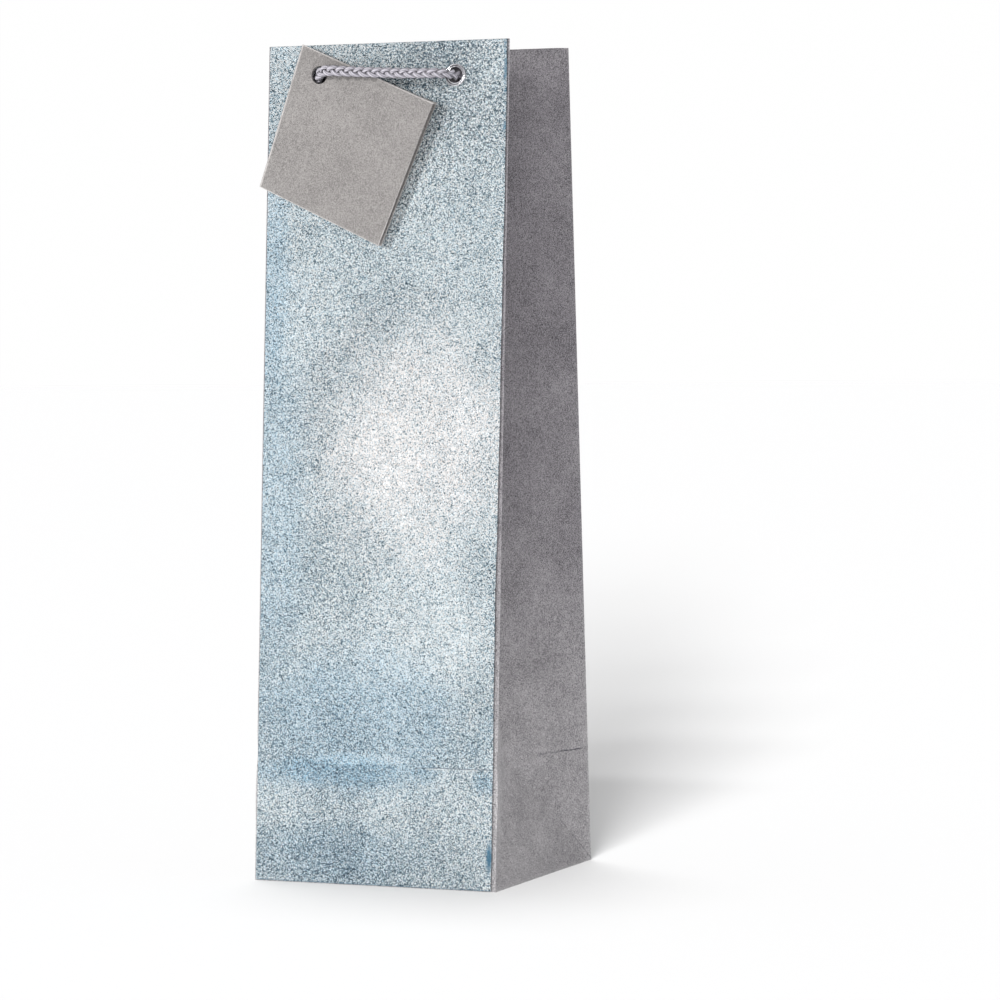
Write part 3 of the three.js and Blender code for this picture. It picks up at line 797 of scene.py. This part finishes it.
def paper_group():
    """Recycled pulp: cloudy tone, short fibres, dark specks and pale flecks, and a height for them."""
    group, given, result = new_group(
        "recycled_pulp",
        [("Vector", "NodeSocketVector", None), ("Light", "NodeSocketColor", colour(190, 188, 194)),
         ("Dark", "NodeSocketColor", colour(120, 118, 126)), ("Contrast", "NodeSocketFloat", 1.0),
         ("Specks", "NodeSocketFloat", 1.0)],
        [("Color", "NodeSocketColor"), ("Height", "NodeSocketFloat")],
    )
    vector = given["Vector"]
    grain = noise(group, vector, 1250.0, 3.0, 0.8)
    fine = noise(group, vector, 3000.0, 2.0, 0.7)
    cloud = noise(group, vector, 28.0, 4.0, 0.6)
    mottle = noise(group, vector, 190.0, 3.0, 0.6)
    upright = add_node(group, "ShaderNodeMapping", {"Vector": vector, "Scale": (1.0, 1.0, 0.22)}).outputs[0]
    fibre = noise(group, upright, 1500.0, 2.0, 0.6, 1.5)
    total = maths(group, "ADD", maths(group, "MULTIPLY", grain, 0.44), maths(group, "MULTIPLY", fine, 0.36))
    total = maths(group, "ADD", total, maths(group, "MULTIPLY", cloud, 0.07))
    total = maths(group, "ADD", total, maths(group, "MULTIPLY", mottle, 0.05))
    total = maths(group, "ADD", total, maths(group, "MULTIPLY", fibre, 0.08))
    centred = maths(group, "MULTIPLY", maths(group, "SUBTRACT", total, 0.5), given["Contrast"])
    share = maths(group, "ADD", maths(group, "MULTIPLY", centred, 6.0), 0.5, clamp=True)
    base = blend_colour(group, share, given["Dark"], given["Light"])
    cells = add_node(group, "ShaderNodeTexVoronoi", {"Vector": vector, "Scale": 170.0})
    picked = add_node(group, "ShaderNodeSeparateColor", {"Color": cells.outputs["Color"]})
    near = remap(group, cells.outputs["Distance"], 0.09, 0.16, 1.0, 0.0)
    dark = maths(group, "MULTIPLY", near, remap(group, picked.outputs[0], 0.965, 0.99))
    dark = maths(group, "MULTIPLY", dark, given["Specks"], clamp=True)
    base = blend_colour(group, maths(group, "MULTIPLY", dark, 0.75), base, colour(58, 54, 58))
    stretched = add_node(group, "ShaderNodeMapping", {"Vector": vector, "Rotation": (0.3, 0.5, 0.2),
                                                      "Scale": (1.0, 1.0, 0.45)}).outputs[0]
    flecks = add_node(group, "ShaderNodeTexVoronoi", {"Vector": stretched, "Scale": 90.0})
    chosen = add_node(group, "ShaderNodeSeparateColor", {"Color": flecks.outputs["Color"]})
    pale = maths(group, "MULTIPLY", remap(group, flecks.outputs["Distance"], 0.07, 0.12, 1.0, 0.0),
                 remap(group, chosen.outputs[1], 0.975, 0.98))
    pale = maths(group, "MULTIPLY", pale, given["Specks"], clamp=True)
    base = blend_colour(group, maths(group, "MULTIPLY", pale, 0.55), base, colour(214, 212, 214))
    group.links.new(base, result["Color"])
    group.links.new(maths(group, "SUBTRACT", total, maths(group, "MULTIPLY", dark, 0.2)), result["Height"])
    return group


def patch_group():
    """A soft oval patch with a ragged edge: 1 at its centre, 0 beyond its radii."""
    group, given, result = new_group(
        "soft_patch",
        [("Vector", "NodeSocketVector", None), ("Centre", "NodeSocketVector", (0, 0, 0)),
         ("Radii", "NodeSocketVector", (0.05, 0.05, 0.05)), ("Ragged", "NodeSocketFloat", 0.4)],
        [("Mask", "NodeSocketFloat")],
    )
    away = add_node(group, "ShaderNodeVectorMath", {0: given["Vector"], 1: given["Centre"]}, operation="SUBTRACT")
    scaled = add_node(group, "ShaderNodeVectorMath", {0: away.outputs[0], 1: given["Radii"]}, operation="DIVIDE")
    length = add_node(group, "ShaderNodeVectorMath", {0: scaled.outputs[0]}, operation="LENGTH").outputs["Value"]
    cloud = noise(group, given["Vector"], 55.0, 5.0, 0.65)
    rough = maths(group, "MULTIPLY", maths(group, "SUBTRACT", cloud, 0.5), given["Ragged"])
    group.links.new(remap(group, maths(group, "ADD", length, rough), 0.25, 1.0, 1.0, 0.0), result["Mask"])
    return group


def fold_line_group():
    """A broken line along a fold: 1 on the line where a coordinate's size equals a distance, broken up by noise.
    It masks rubbed wear and also painted highlights and painted shade along folds.
    """
    group, given, result = new_group(
        "fold_line",
        [("Vector", "NodeSocketVector", None), ("Coordinate", "NodeSocketFloat", 0.0),
         ("Place", "NodeSocketFloat", 0.055), ("Width", "NodeSocketFloat", 0.0006),
         ("Gaps", "NodeSocketFloat", 0.5)],
        [("Mask", "NodeSocketFloat")],
    )
    gap = maths(group, "ABSOLUTE", maths(group, "SUBTRACT", given["Coordinate"], given["Place"]))
    line = maths(group, "SUBTRACT", 1.0, maths(group, "DIVIDE", gap, given["Width"]), clamp=True)
    broken = remap(group, noise(group, given["Vector"], 150.0, 4.0, 0.7), given["Gaps"],
                   maths(group, "ADD", given["Gaps"], 0.15))
    group.links.new(maths(group, "MULTIPLY", line, broken), result["Mask"])
    return group


PULP, PATCH, FOLD_LINE = paper_group(), patch_group(), fold_line_group()


def use(tree, group, **inputs):
    """A node group placed in a material with its own values."""
    made = tree.nodes.new("ShaderNodeGroup")
    made.node_tree = group
    feed(tree, made.inputs, inputs)
    return made.outputs


def new_material(name):
    """A material with its node tree, its shader and the object's own coordinates."""
    material = bpy.data.materials.new(name)
    material.use_nodes = True
    tree = material.node_tree
    shader = tree.nodes["Principled BSDF"]
    place = add_node(tree, "ShaderNodeTexCoord").outputs["Object"]
    return material, tree, shader, place


def finer(tree, place, times):
    """Object coordinates enlarged, so that a pattern read from them comes out that many times finer."""
    return add_node(tree, "ShaderNodeMapping", {"Vector": place, "Scale": (times, times, times)}).outputs[0]


def bump(tree, shader, height, strength, distance):
    """Raises the surface's shading by a height."""
    made = add_node(tree, "ShaderNodeBump", {"Height": height, "Strength": strength, "Distance": distance})
    tree.links.new(made.outputs[0], shader.inputs["Normal"])


# ---------------------------------------------------------------- materials
def grey_paper():
    """The bag's recycled grey paper: pulp; pale lines on its folds, partly wear and partly painted highlight; the
    dark broken line of the base score, painted shade in its groove; painted shade along the diagonal creases near
    the base;
    and painted light that brightens it towards the bottom and in a band at the top.
    """
    material, tree, shader, place = new_material("recycled_grey_paper")
    pulp = use(tree, PULP, Vector=finer(tree, place, 1.8), Light=colour(180, 176, 181), Dark=colour(82, 79, 84),
               Contrast=1.75)
    axes = add_node(tree, "ShaderNodeSeparateXYZ", {"Vector": place})
    x, y, z = axes.outputs
    side = maths(tree, "ABSOLUTE", x)
    # Pale line along the side folds: partly rubbed wear, partly a painted highlight where the fold's round
    # catches the light.
    fold = use(tree, FOLD_LINE, Vector=place, Coordinate=side, Place=WIDTH / 2 * MM, Width=0.0007, Gaps=0.3)["Mask"]
    base = blend_colour(tree, maths(tree, "MULTIPLY", fold, 0.18), pulp["Color"], colour(196, 195, 198))
    shift = maths(tree, "MULTIPLY", maths(tree, "SUBTRACT", 0.046, maths(tree, "ABSOLUTE", y)), 0.05)
    level = maths(tree, "ADD", z, maths(tree, "MULTIPLY", shift, 0.6))
    wobble = maths(tree, "MULTIPLY", maths(tree, "SUBTRACT", noise(tree, place, 60.0, 3.0), 0.5), 0.0012)
    level = maths(tree, "ADD", level, wobble)
    # Dark broken line of the base score: painted shade in its groove, drawn on the back half and fading towards
    # the gusset's middle.
    score = use(tree, FOLD_LINE, Vector=place, Coordinate=level, Place=SCORE * MM, Width=0.0005, Gaps=0.36)["Mask"]
    towards_fold = remap(tree, y, 0.006, 0.038)
    base = blend_colour(tree, maths(tree, "MULTIPLY", score, maths(tree, "MULTIPLY", towards_fold, 0.9)), base,
                        colour(48, 48, 58))
    # Painted light: the paper is brightened towards the bottom, standing in for light bounced up from the table,
    # and in a narrow band at the top, standing in for the key light over the front; the noise adds random paler
    # patches.
    lower = remap(tree, z, 0.17, 0.045, 0.0, 0.46)
    rubbing_and_painted_light = remap(tree, noise(tree, place, 17.0, 5.0, 0.6), 0.4, 0.7, 0.0, 0.12)
    rubbing_and_painted_light = maths(tree, "ADD", rubbing_and_painted_light, maths(tree, "ADD", lower, remap(tree, z, 0.343, 0.349, 0.0, 0.08)))
    base = blend_colour(tree, rubbing_and_painted_light, base, (2.2, 2.27, 2.14, 1), "MULTIPLY")
    # Painted shade: a dark band along each gusset's diagonal crease near the base, where the lower flap folds
    # inwards.
    diagonal = maths(tree, "ADD", maths(tree, "DIVIDE", y, DEPTH / 2 * MM), maths(tree, "DIVIDE", z, APEX * MM))
    corner = use(tree, FOLD_LINE, Vector=place, Coordinate=diagonal, Place=1.0, Width=0.012, Gaps=0.4)["Mask"]
    corner = maths(tree, "MULTIPLY", corner, remap(tree, z, 0.03, 0.002, 0.15, 0.6))
    base = blend_colour(tree, corner, base, colour(70, 68, 76))
    tree.links.new(base, shader.inputs["Base Color"])
    shader.inputs["Roughness"].default_value = 0.85
    shader.inputs["Specular IOR Level"].default_value = 0.3
    creases = noise(tree, place, 34.0, 5.0, 0.55, 0.8)
    grain = maths(tree, "MULTIPLY", pulp["Height"], 0.10)
    height = maths(tree, "ADD", grain, maths(tree, "MULTIPLY", creases, 0.9))
    height = maths(tree, "SUBTRACT", height, maths(tree, "MULTIPLY", score, 0.12))
    bump(tree, shader, height, 0.6, 0.0011)
    return material


def glitter_film():
    """Glitter film: flakes of about 0.4 and 0.2 millimetres, each with its own tone and its own tilt, over a
    blue-grey film, paler in large soft zones of painted reflection and bluer where that painted reflection falls
    away, and worn to the blue film at its edges. Along the base score it has a painted dark line of shade and
    painted pale dashes of highlight."""
    material, tree, shader, place = new_material("glitter_film")
    flat = add_node(tree, "ShaderNodeMapping", {"Vector": place, "Scale": (1.0, 0.6, 1.0)}).outputs[0]
    large = add_node(tree, "ShaderNodeTexVoronoi", {"Vector": flat, "Scale": 2700.0})
    small = add_node(tree, "ShaderNodeTexVoronoi", {"Vector": flat, "Scale": 4600.0})
    large_pick = add_node(tree, "ShaderNodeSeparateColor", {"Color": large.outputs["Color"]}).outputs
    small_pick = add_node(tree, "ShaderNodeSeparateColor", {"Color": small.outputs["Color"]}).outputs
    axes = add_node(tree, "ShaderNodeSeparateXYZ", {"Vector": place})
    x, y, z = axes.outputs
    front = remap(tree, y, -0.001, 0.001, 1.0, 0.0)

    def patch(centre, radii, ragged=0.5):
        """A soft oval zone of the face, from its centre and radii in millimetres across and up."""
        centre = (centre[0] * MM, -0.045, centre[1] * MM)
        return use(tree, PATCH, Vector=place, Centre=centre, Radii=(radii[0] * MM, 0.2, radii[1] * MM),
                   Ragged=ragged)["Mask"]

    cloud = noise(tree, place, 22.0, 5.0, 0.6)
    upright = add_node(tree, "ShaderNodeMapping", {"Vector": place, "Scale": (1.0, 1.0, 0.35)}).outputs[0]
    streak = noise(tree, upright, 60.0, 4.0, 0.6)
    small_tone = maths(tree, "MULTIPLY", small_pick[0], 0.42)
    tone = maths(tree, "ADD", maths(tree, "MULTIPLY", large_pick[0], 0.58), small_tone)
    tone = maths(tree, "ADD", tone, maths(tree, "MULTIPLY", maths(tree, "SUBTRACT", cloud, 0.5), 0.22))
    tone = maths(tree, "ADD", tone, maths(tree, "MULTIPLY", maths(tree, "SUBTRACT", streak, 0.5), 0.12))
    # Painted reflection: each entry (centre, radii, lift) makes a soft zone of the face paler, or a little darker
    # for a negative lift, as large glints of the key light on the film would.
    painted_reflection_lifts = [((26, 188), (56, 66), 0.13), ((-6, 176), (34, 44), 0.05), ((20, 300), (45, 60), 0.02),
             ((20, 105), (42, 60), 0.07),
             ((-8, 53), (32, 4), 0.10), ((0, 8), (140, 34), -0.04), ((24, 335), (40, 45), -0.05),
             ((-50, 190), (24, 130), 0.04)]
    for centre, radii, lift in painted_reflection_lifts:
        tone = maths(tree, "ADD", tone, maths(tree, "MULTIPLY", patch(centre, radii), lift))
    tone = maths(tree, "ADD", tone, 0.044)
    # Painted reflection: the flakes' contrast is raised in a zone near the top right, as stronger glints.
    sparkle = maths(tree, "ADD", 2.4, maths(tree, "MULTIPLY", patch((20, 335), (70, 60)), 1.0))
    tone = maths(tree, "ADD", maths(tree, "MULTIPLY", maths(tree, "SUBTRACT", tone, 0.56), sparkle), 0.595)
    blue = 0.0
    # Painted reflection: zones where the glints fall away, made darker and bluer; each entry is (centre, radii,
    # share).
    dim_reflection_zones = [((-50, 150), (24, 140), 0.4), ((-12, 68), (84, 44), 0.5), ((-16, 48), (62, 12), 0.8),
             ((50, 45), (9, 7), 0.55), ((-20, 12), (60, 20), 0.4), ((-52, 250), (12, 80), 0.5)]
    for centre, radii, share in dim_reflection_zones:
        blue = maths(tree, "MAXIMUM", maths(tree, "MULTIPLY", patch(centre, radii, 0.9), share), blue)
    blue = maths(tree, "MULTIPLY", blue, front)
    tone = maths(tree, "SUBTRACT", tone, maths(tree, "MULTIPLY", blue, 0.05))
    ramp = add_node(tree, "ShaderNodeValToRGB", {"Fac": tone})
    stops = [(0.0, (14, 46, 62)), (0.25, (66, 102, 118)), (0.42, (134, 158, 171)), (0.55, (182, 196, 205)),
             (0.72, (217, 228, 233)), (1.0, (251, 254, 255))]
    ramp.color_ramp.elements[0].position, ramp.color_ramp.elements[1].position = 0.0, 1.0
    for position, value in stops[1:-1]:
        ramp.color_ramp.elements.new(position)
    for element, (position, value) in zip(ramp.color_ramp.elements, stops):
        element.position, element.color = position, colour(*value)
    base = ramp.outputs["Color"]
    # The painted reflection's blue zones also tint the flakes blue.
    blue = maths(tree, "MULTIPLY", blue, remap(tree, small_pick[2], 0.1, 0.9, 0.15, 0.95))
    base = blend_colour(tree, blue, base, colour(128, 198, 232), "MULTIPLY")
    warm = remap(tree, large_pick[2], 0.6, 0.95, 0.0, 0.3)
    base = blend_colour(tree, warm, base, colour(255, 236, 218), "MULTIPLY")
    # Painted reflection: a faint warm white tint over the large bright zone.
    base = blend_colour(tree, patch((14, 190), (70, 76), 0.8), base, colour(255, 248, 246), "MULTIPLY")
    cold = remap(tree, large_pick[2], 0.4, 0.05, 0.0, 0.3)
    base = blend_colour(tree, cold, base, colour(196, 236, 250), "MULTIPLY")
    right = remap(tree, x, (WIDTH / 2 - 2.6) * MM, (WIDTH / 2 - 1.7) * MM)
    scuffed = remap(tree, noise(tree, place, 130.0, 4.0, 0.65), 0.45, 0.62)
    upper = remap(tree, z, 0.285, 0.32, 0.0, 0.7)
    worn = maths(tree, "MULTIPLY", maths(tree, "MULTIPLY", right, upper), scuffed)
    low_patch = patch((52.6, 14), (2.2, 9), 0.9)
    worn = maths(tree, "MAXIMUM", worn, maths(tree, "MULTIPLY", low_patch, 0.95))
    hem_edge = remap(tree, z, 0.0011, 0.0003)
    worn = maths(tree, "MAXIMUM", worn, maths(tree, "MULTIPLY", hem_edge, 0.6))
    base = blend_colour(tree, maths(tree, "MULTIPLY", worn, front), base, colour(58, 112, 140))
    # Along the base score, only on the right part of the face: pale dashes on the score, painted highlight on the
    # crease's ridge, and a thin dark line just above it, painted shade in the crease.
    score = use(tree, FOLD_LINE, Vector=place, Coordinate=z, Place=SCORE * MM, Width=0.0005, Gaps=0.42)["Mask"]
    seen = remap(tree, x, 0.012, 0.03)
    from_crease = maths(tree, "ABSOLUTE", maths(tree, "SUBTRACT", z, SCORE * MM + 0.0005))
    crease = remap(tree, from_crease, 0.0001, 0.0004, 0.6, 0.0)
    base = blend_colour(tree, maths(tree, "MULTIPLY", crease, seen), base, colour(60, 76, 92))
    base = blend_colour(tree, maths(tree, "MULTIPLY", score, maths(tree, "MULTIPLY", seen, 0.7)), base,
                        colour(236, 240, 242))
    tree.links.new(base, shader.inputs["Base Color"])
    shader.inputs["Metallic"].default_value = 0.25
    shader.inputs["Specular IOR Level"].default_value = 0.5
    tree.links.new(remap(tree, small_pick[1], 0.0, 1.0, 0.22, 0.55, smooth=False), shader.inputs["Roughness"])

    def lean(cells, amount):
        """Each flake's own random lean: its colour, centred on nought, as a vector."""
        centred = add_node(tree, "ShaderNodeVectorMath", {0: cells.outputs["Color"], 1: (0.5, 0.5, 0.5)},
                           operation="SUBTRACT")
        return add_node(tree, "ShaderNodeVectorMath", {0: centred.outputs[0], "Scale": amount},
                        operation="SCALE").outputs[0]

    normal = add_node(tree, "ShaderNodeNewGeometry").outputs["Normal"]
    summed = add_node(tree, "ShaderNodeVectorMath", {0: normal, 1: lean(large, 0.75)}, operation="ADD")
    summed = add_node(tree, "ShaderNodeVectorMath", {0: summed.outputs[0], 1: lean(small, 0.55)},
                      operation="ADD")
    flake = add_node(tree, "ShaderNodeVectorMath", {0: summed.outputs[0]}, operation="NORMALIZE")
    tree.links.new(flake.outputs[0], shader.inputs["Normal"])
    return material


def tag_card():
    """The tag's warm grey chipboard, with a pale band along its cut edges and corners: partly rubbing, partly a
    painted highlight where the edges catch the light.
    """
    material, tree, shader, place = new_material("tag_chipboard")
    pulp = use(tree, PULP, Vector=finer(tree, place, 1.5), Light=colour(186, 182, 180),
               Dark=colour(120, 117, 116), Contrast=1.15, Specks=1.6)
    base = blend_colour(tree, remap(tree, noise(tree, place, 26.0, 4.0, 0.6), 0.4, 0.7, 0.0, 0.06), pulp["Color"],
                        colour(196, 192, 190))
    along, upwards, _ = tag_frame()
    origin = on_face("front", *(np.array([c]) for c in TAG_HOLE))[0]
    corners = np.array([TAG_TOP_FOLD, TAG_TOP_FREE, TAG_FOOT_FREE, TAG_FOOT_FOLD])
    edges = np.roll(corners, -1, axis=0) - corners
    inward = np.stack([edges[:, 1], -edges[:, 0]], -1) / np.linalg.norm(edges, axis=1)[:, None]
    nearest = 1.0
    for corner, normal in zip(corners, inward):
        direction = normal[0] * along + normal[1] * upwards
        reach = add_node(tree, "ShaderNodeVectorMath", {0: place, 1: tuple(direction)}, operation="DOT_PRODUCT")
        level = float(direction @ origin + normal @ corner) * MM
        away = maths(tree, "ABSOLUTE", maths(tree, "SUBTRACT", reach.outputs["Value"], level))
        nearest = maths(tree, "MINIMUM", away, nearest)
    # Pale band along the cut edges: partly rubbing, partly a painted highlight where the edges catch the light.
    rubbing_and_painted_light = maths(tree, "MULTIPLY", remap(tree, nearest, 0.0001, 0.0006, 0.8, 0.0),
                   remap(tree, noise(tree, place, 320.0, 3.0, 0.6), 0.3, 0.55, 0.35, 1.0))
    base = blend_colour(tree, rubbing_and_painted_light, base, colour(222, 218, 216))
    tree.links.new(base, shader.inputs["Base Color"])
    shader.inputs["Roughness"].default_value = 0.82
    shader.inputs["Specular IOR Level"].default_value = 0.3
    bump(tree, shader, pulp["Height"], 0.5, 0.00025)
    return material


def plaited_cord():
    """Twisted yarn on each strand of the plait: slanting ridges along the strand, darker between its threads,
    soft sheen, a lilac-grey tone, and painted shade on the sides of each strand where it meets the next."""
    material, tree, shader, place = new_material("plaited_lilac_cord")
    uv = add_node(tree, "ShaderNodeUVMap", uv_map="UVMap").outputs["UV"]
    parts = add_node(tree, "ShaderNodeSeparateXYZ", {"Vector": uv}).outputs
    slant = maths(tree, "ADD", maths(tree, "MULTIPLY", parts[0], 3.4), maths(tree, "MULTIPLY", parts[1], 5.0))
    rows = maths(tree, "ABSOLUTE", maths(tree, "SINE", maths(tree, "MULTIPLY", slant, math.pi)))
    drawn_out = add_node(tree, "ShaderNodeMapping", {"Vector": place, "Scale": (0.35, 1.0, 1.0)}).outputs[0]
    hairs = noise(tree, drawn_out, 5200.0, 2.0, 0.6)
    shade = maths(tree, "ADD", maths(tree, "MULTIPLY", rows, 0.6), maths(tree, "MULTIPLY", hairs, 0.4))
    base = blend_colour(tree, remap(tree, shade, 0.15, 0.75), colour(140, 136, 148), colour(216, 213, 222))
    # Painted shade: each strand and yarn is darkened on its sides, where the strands meet and shade falls in the
    # gaps between them.
    facing = maths(tree, "SINE", maths(tree, "MULTIPLY", parts[1], 2 * math.pi))
    base = blend_colour(tree, remap(tree, facing, 0.9, 0.25, 0.0, 0.92), base, colour(44, 41, 52))
    tree.links.new(base, shader.inputs["Base Color"])
    shader.inputs["Roughness"].default_value = 0.6
    shader.inputs["Sheen Weight"].default_value = 0.35
    shader.inputs["Sheen Roughness"].default_value = 0.4
    bump(tree, shader, shade, 0.7, 0.00016)
    return material


def silver_metal():
    """Thin pressed steel with a bright plating: small dents, uneven dullness and a little tarnish."""
    material, tree, shader, place = new_material("plated_eyelet")
    tarnish = remap(tree, noise(tree, place, 900.0, 4.0, 0.6), 0.35, 0.7)
    base = blend_colour(tree, tarnish, colour(236, 236, 240), colour(196, 194, 198))
    tree.links.new(base, shader.inputs["Base Color"])
    shader.inputs["Metallic"].default_value = 1.0
    dull = remap(tree, noise(tree, place, 2600.0, 3.0, 0.6), 0.3, 0.8, 0.1, 0.24)
    tree.links.new(dull, shader.inputs["Roughness"])
    bump(tree, shader, noise(tree, place, 1400.0, 3.0, 0.6), 0.25, 0.0001)
    return material


def grey_board():
    """Unbleached board of the hem strips and the loose base: coarse warm pulp."""
    material, tree, shader, place = new_material("unbleached_board")
    pulp = use(tree, PULP, Vector=place, Light=colour(188, 180, 168), Dark=colour(138, 130, 120), Contrast=1.2,
               Specks=1.6)
    tree.links.new(pulp["Color"], shader.inputs["Base Color"])
    shader.inputs["Roughness"].default_value = 0.9
    bump(tree, shader, pulp["Height"], 0.6, 0.0004)
    return material


# ---------------------------------------------------------------- make the bag
paper, film, card = grey_paper(), glitter_film(), tag_card()
braid, metal, board = plaited_cord(), silver_metal(), grey_board()

sides = {
    "front": LEFT_TAIL + LEFT_BEND_THROUGH_TAG + MIDDLE_RUN,
    "back": LEFT_TAIL + LEFT_BEND + BACK_RUN,
}
tag_leaves = add_tag(card)
for side, start in sides.items():
    route = start + [(-x, up, out) for x, up, out in reversed(LEFT_TAIL + LEFT_BEND)]
    cord, centre, length = add_cord(side, route, braid)
    left, right = (route[0], route[-1]) if side == "front" else (route[-1], route[0])
    knots = [add_knot(side, f"{side}_{name}_knot", end, seed, braid)
             for name, end, seed in (("left", left, 3), ("right", right, 8))]

body = add_paper_body(paper)
sharpen(body)
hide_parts("paper_body")
for side in sides:
    add_glitter_sheet(side, film)
    turn = 1 if side == "front" else -1
    for name, x in (("left", -EYELET_X * turn), ("right", EYELET_X * turn)):
        add_eyelet(side, f"{side}_{name}", x, metal)


def finish_node(node, material):
    """A part kept as it was drawn gets its material."""
    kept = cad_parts[node]
    kept = bpy.data.objects[kept] if isinstance(kept, str) else kept
    kept.data.materials.clear()
    kept.data.materials.append(material)


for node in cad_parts:
    if node.endswith("_washer"):
        finish_node(node, metal)
    elif node.endswith("_board"):
        finish_node(node, board)


# ---------------------------------------------------------------- stage and light
def stage_piece(name, points, faces, tint, glow):
    """Part of the studio, not of the bag: a surface with one plain finish."""
    mesh = bpy.data.meshes.new(name)
    mesh.from_pydata(points.tolist(), [], faces.tolist())
    mesh.polygons.foreach_set("use_smooth", np.full(len(mesh.polygons), True))
    piece = bpy.data.objects.new(name, mesh)
    bpy.context.scene.collection.objects.link(piece)
    material, _, shader, _ = new_material(name)
    shader.inputs["Base Color"].default_value = tint
    shader.inputs["Roughness"].default_value = 0.9
    shader.inputs["Specular IOR Level"].default_value = 0.1
    shader.inputs["Emission Color"].default_value = (1, 1, 1, 1)
    shader.inputs["Emission Strength"].default_value = glow
    mesh.materials.append(material)
    piece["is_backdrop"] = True
    return piece


def add_stage():
    """A wide pale table, and a white dome round it that only the camera sees: a half circle from the table's rim
    to the zenith, turned a whole round."""
    around = np.linspace(0, 2 * np.pi, 64, endpoint=False)
    table_rings = np.array([0.0, 0.5, 2.0, 6.0, ROOM])[:, None]
    table = np.stack(np.broadcast_arrays(table_rings * np.cos(around), table_rings * np.sin(around), 0.0), -1)
    faces = quads_of_grid(len(table_rings), len(around), close_columns=True)
    grey = (TABLE_SHADE, TABLE_SHADE, TABLE_SHADE, 1)
    floor = stage_piece("pale_table", table.reshape(-1, 3), faces, grey, 0.0)
    rise = np.linspace(0, np.pi / 2 - 0.01, 16)[:, None]
    dome = ROOM * np.stack(np.broadcast_arrays(np.cos(rise) * np.cos(around), np.cos(rise) * np.sin(around),
                                               np.sin(rise)), -1)
    faces = quads_of_grid(len(rise), len(around), close_columns=True)
    sky = stage_piece("white_dome", dome.reshape(-1, 3), faces, (0, 0, 0, 1), 0.995)
    for ray in ("diffuse", "glossy", "transmission", "volume_scatter", "shadow"):
        setattr(sky, f"visible_{ray}", False)
    return floor


def add_sun(name, towards, energy, spread, tint, lit):
    """A distant soft light that falls along towards, on the given objects."""
    sun = bpy.data.lights.new(name, "SUN")
    sun.energy = energy
    sun.angle = math.radians(spread)
    sun.color = tint
    lamp = bpy.data.objects.new(name, sun)
    lamp.rotation_euler = Vector(towards).to_track_quat("-Z", "Y").to_euler()
    bpy.context.scene.collection.objects.link(lamp)
    receivers = bpy.data.collections.new(f"{name}_receivers")
    for item in lit:
        receivers.objects.link(item)
    lamp.light_linking.receiver_collection = receivers


def add_lights(floor):
    """A white room, and a large soft light on the bag from the front left. The table has its own: a tall
    narrow light in front, made of several at different heights so that the shadow fades as it lengthens, and one
    overhead behind the bag that lays a short shadow before it."""
    world = bpy.data.worlds.new("white_room")
    bpy.context.scene.world = world
    world.use_nodes = True
    background = world.node_tree.nodes["Background"]
    background.inputs["Color"].default_value = (0.99, 0.985, 1.0, 1)
    background.inputs["Strength"].default_value = ROOM_LIGHT
    bag = [item for item in bpy.context.scene.objects if item.type == "MESH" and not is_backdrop(item)]
    white = (1.0, 1.0, 1.0)
    add_sun("key", KEY_TOWARDS, KEY_LIGHT, KEY_SPREAD, (1.0, 0.99, 0.97), bag)
    for number, (height, heading, share) in enumerate(TABLE_LIGHTS):
        rise, turn = math.radians(height), math.radians(heading)
        towards = (-math.sin(turn) * math.cos(rise), math.cos(turn) * math.cos(rise), -math.sin(rise))
        energy = share * math.pi / TABLE_SHADE / math.sin(rise)
        add_sun(f"front_strip_{number}", towards, energy, TABLE_LIGHT_SPREAD, white, [floor])
    energy = OVERHEAD_SHARE * math.pi / TABLE_SHADE
    add_sun("overhead", OVERHEAD_TOWARDS, energy, OVERHEAD_SPREAD, white, [floor])


add_lights(add_stage())
bpy.context.scene.view_settings.view_transform = "Standard"
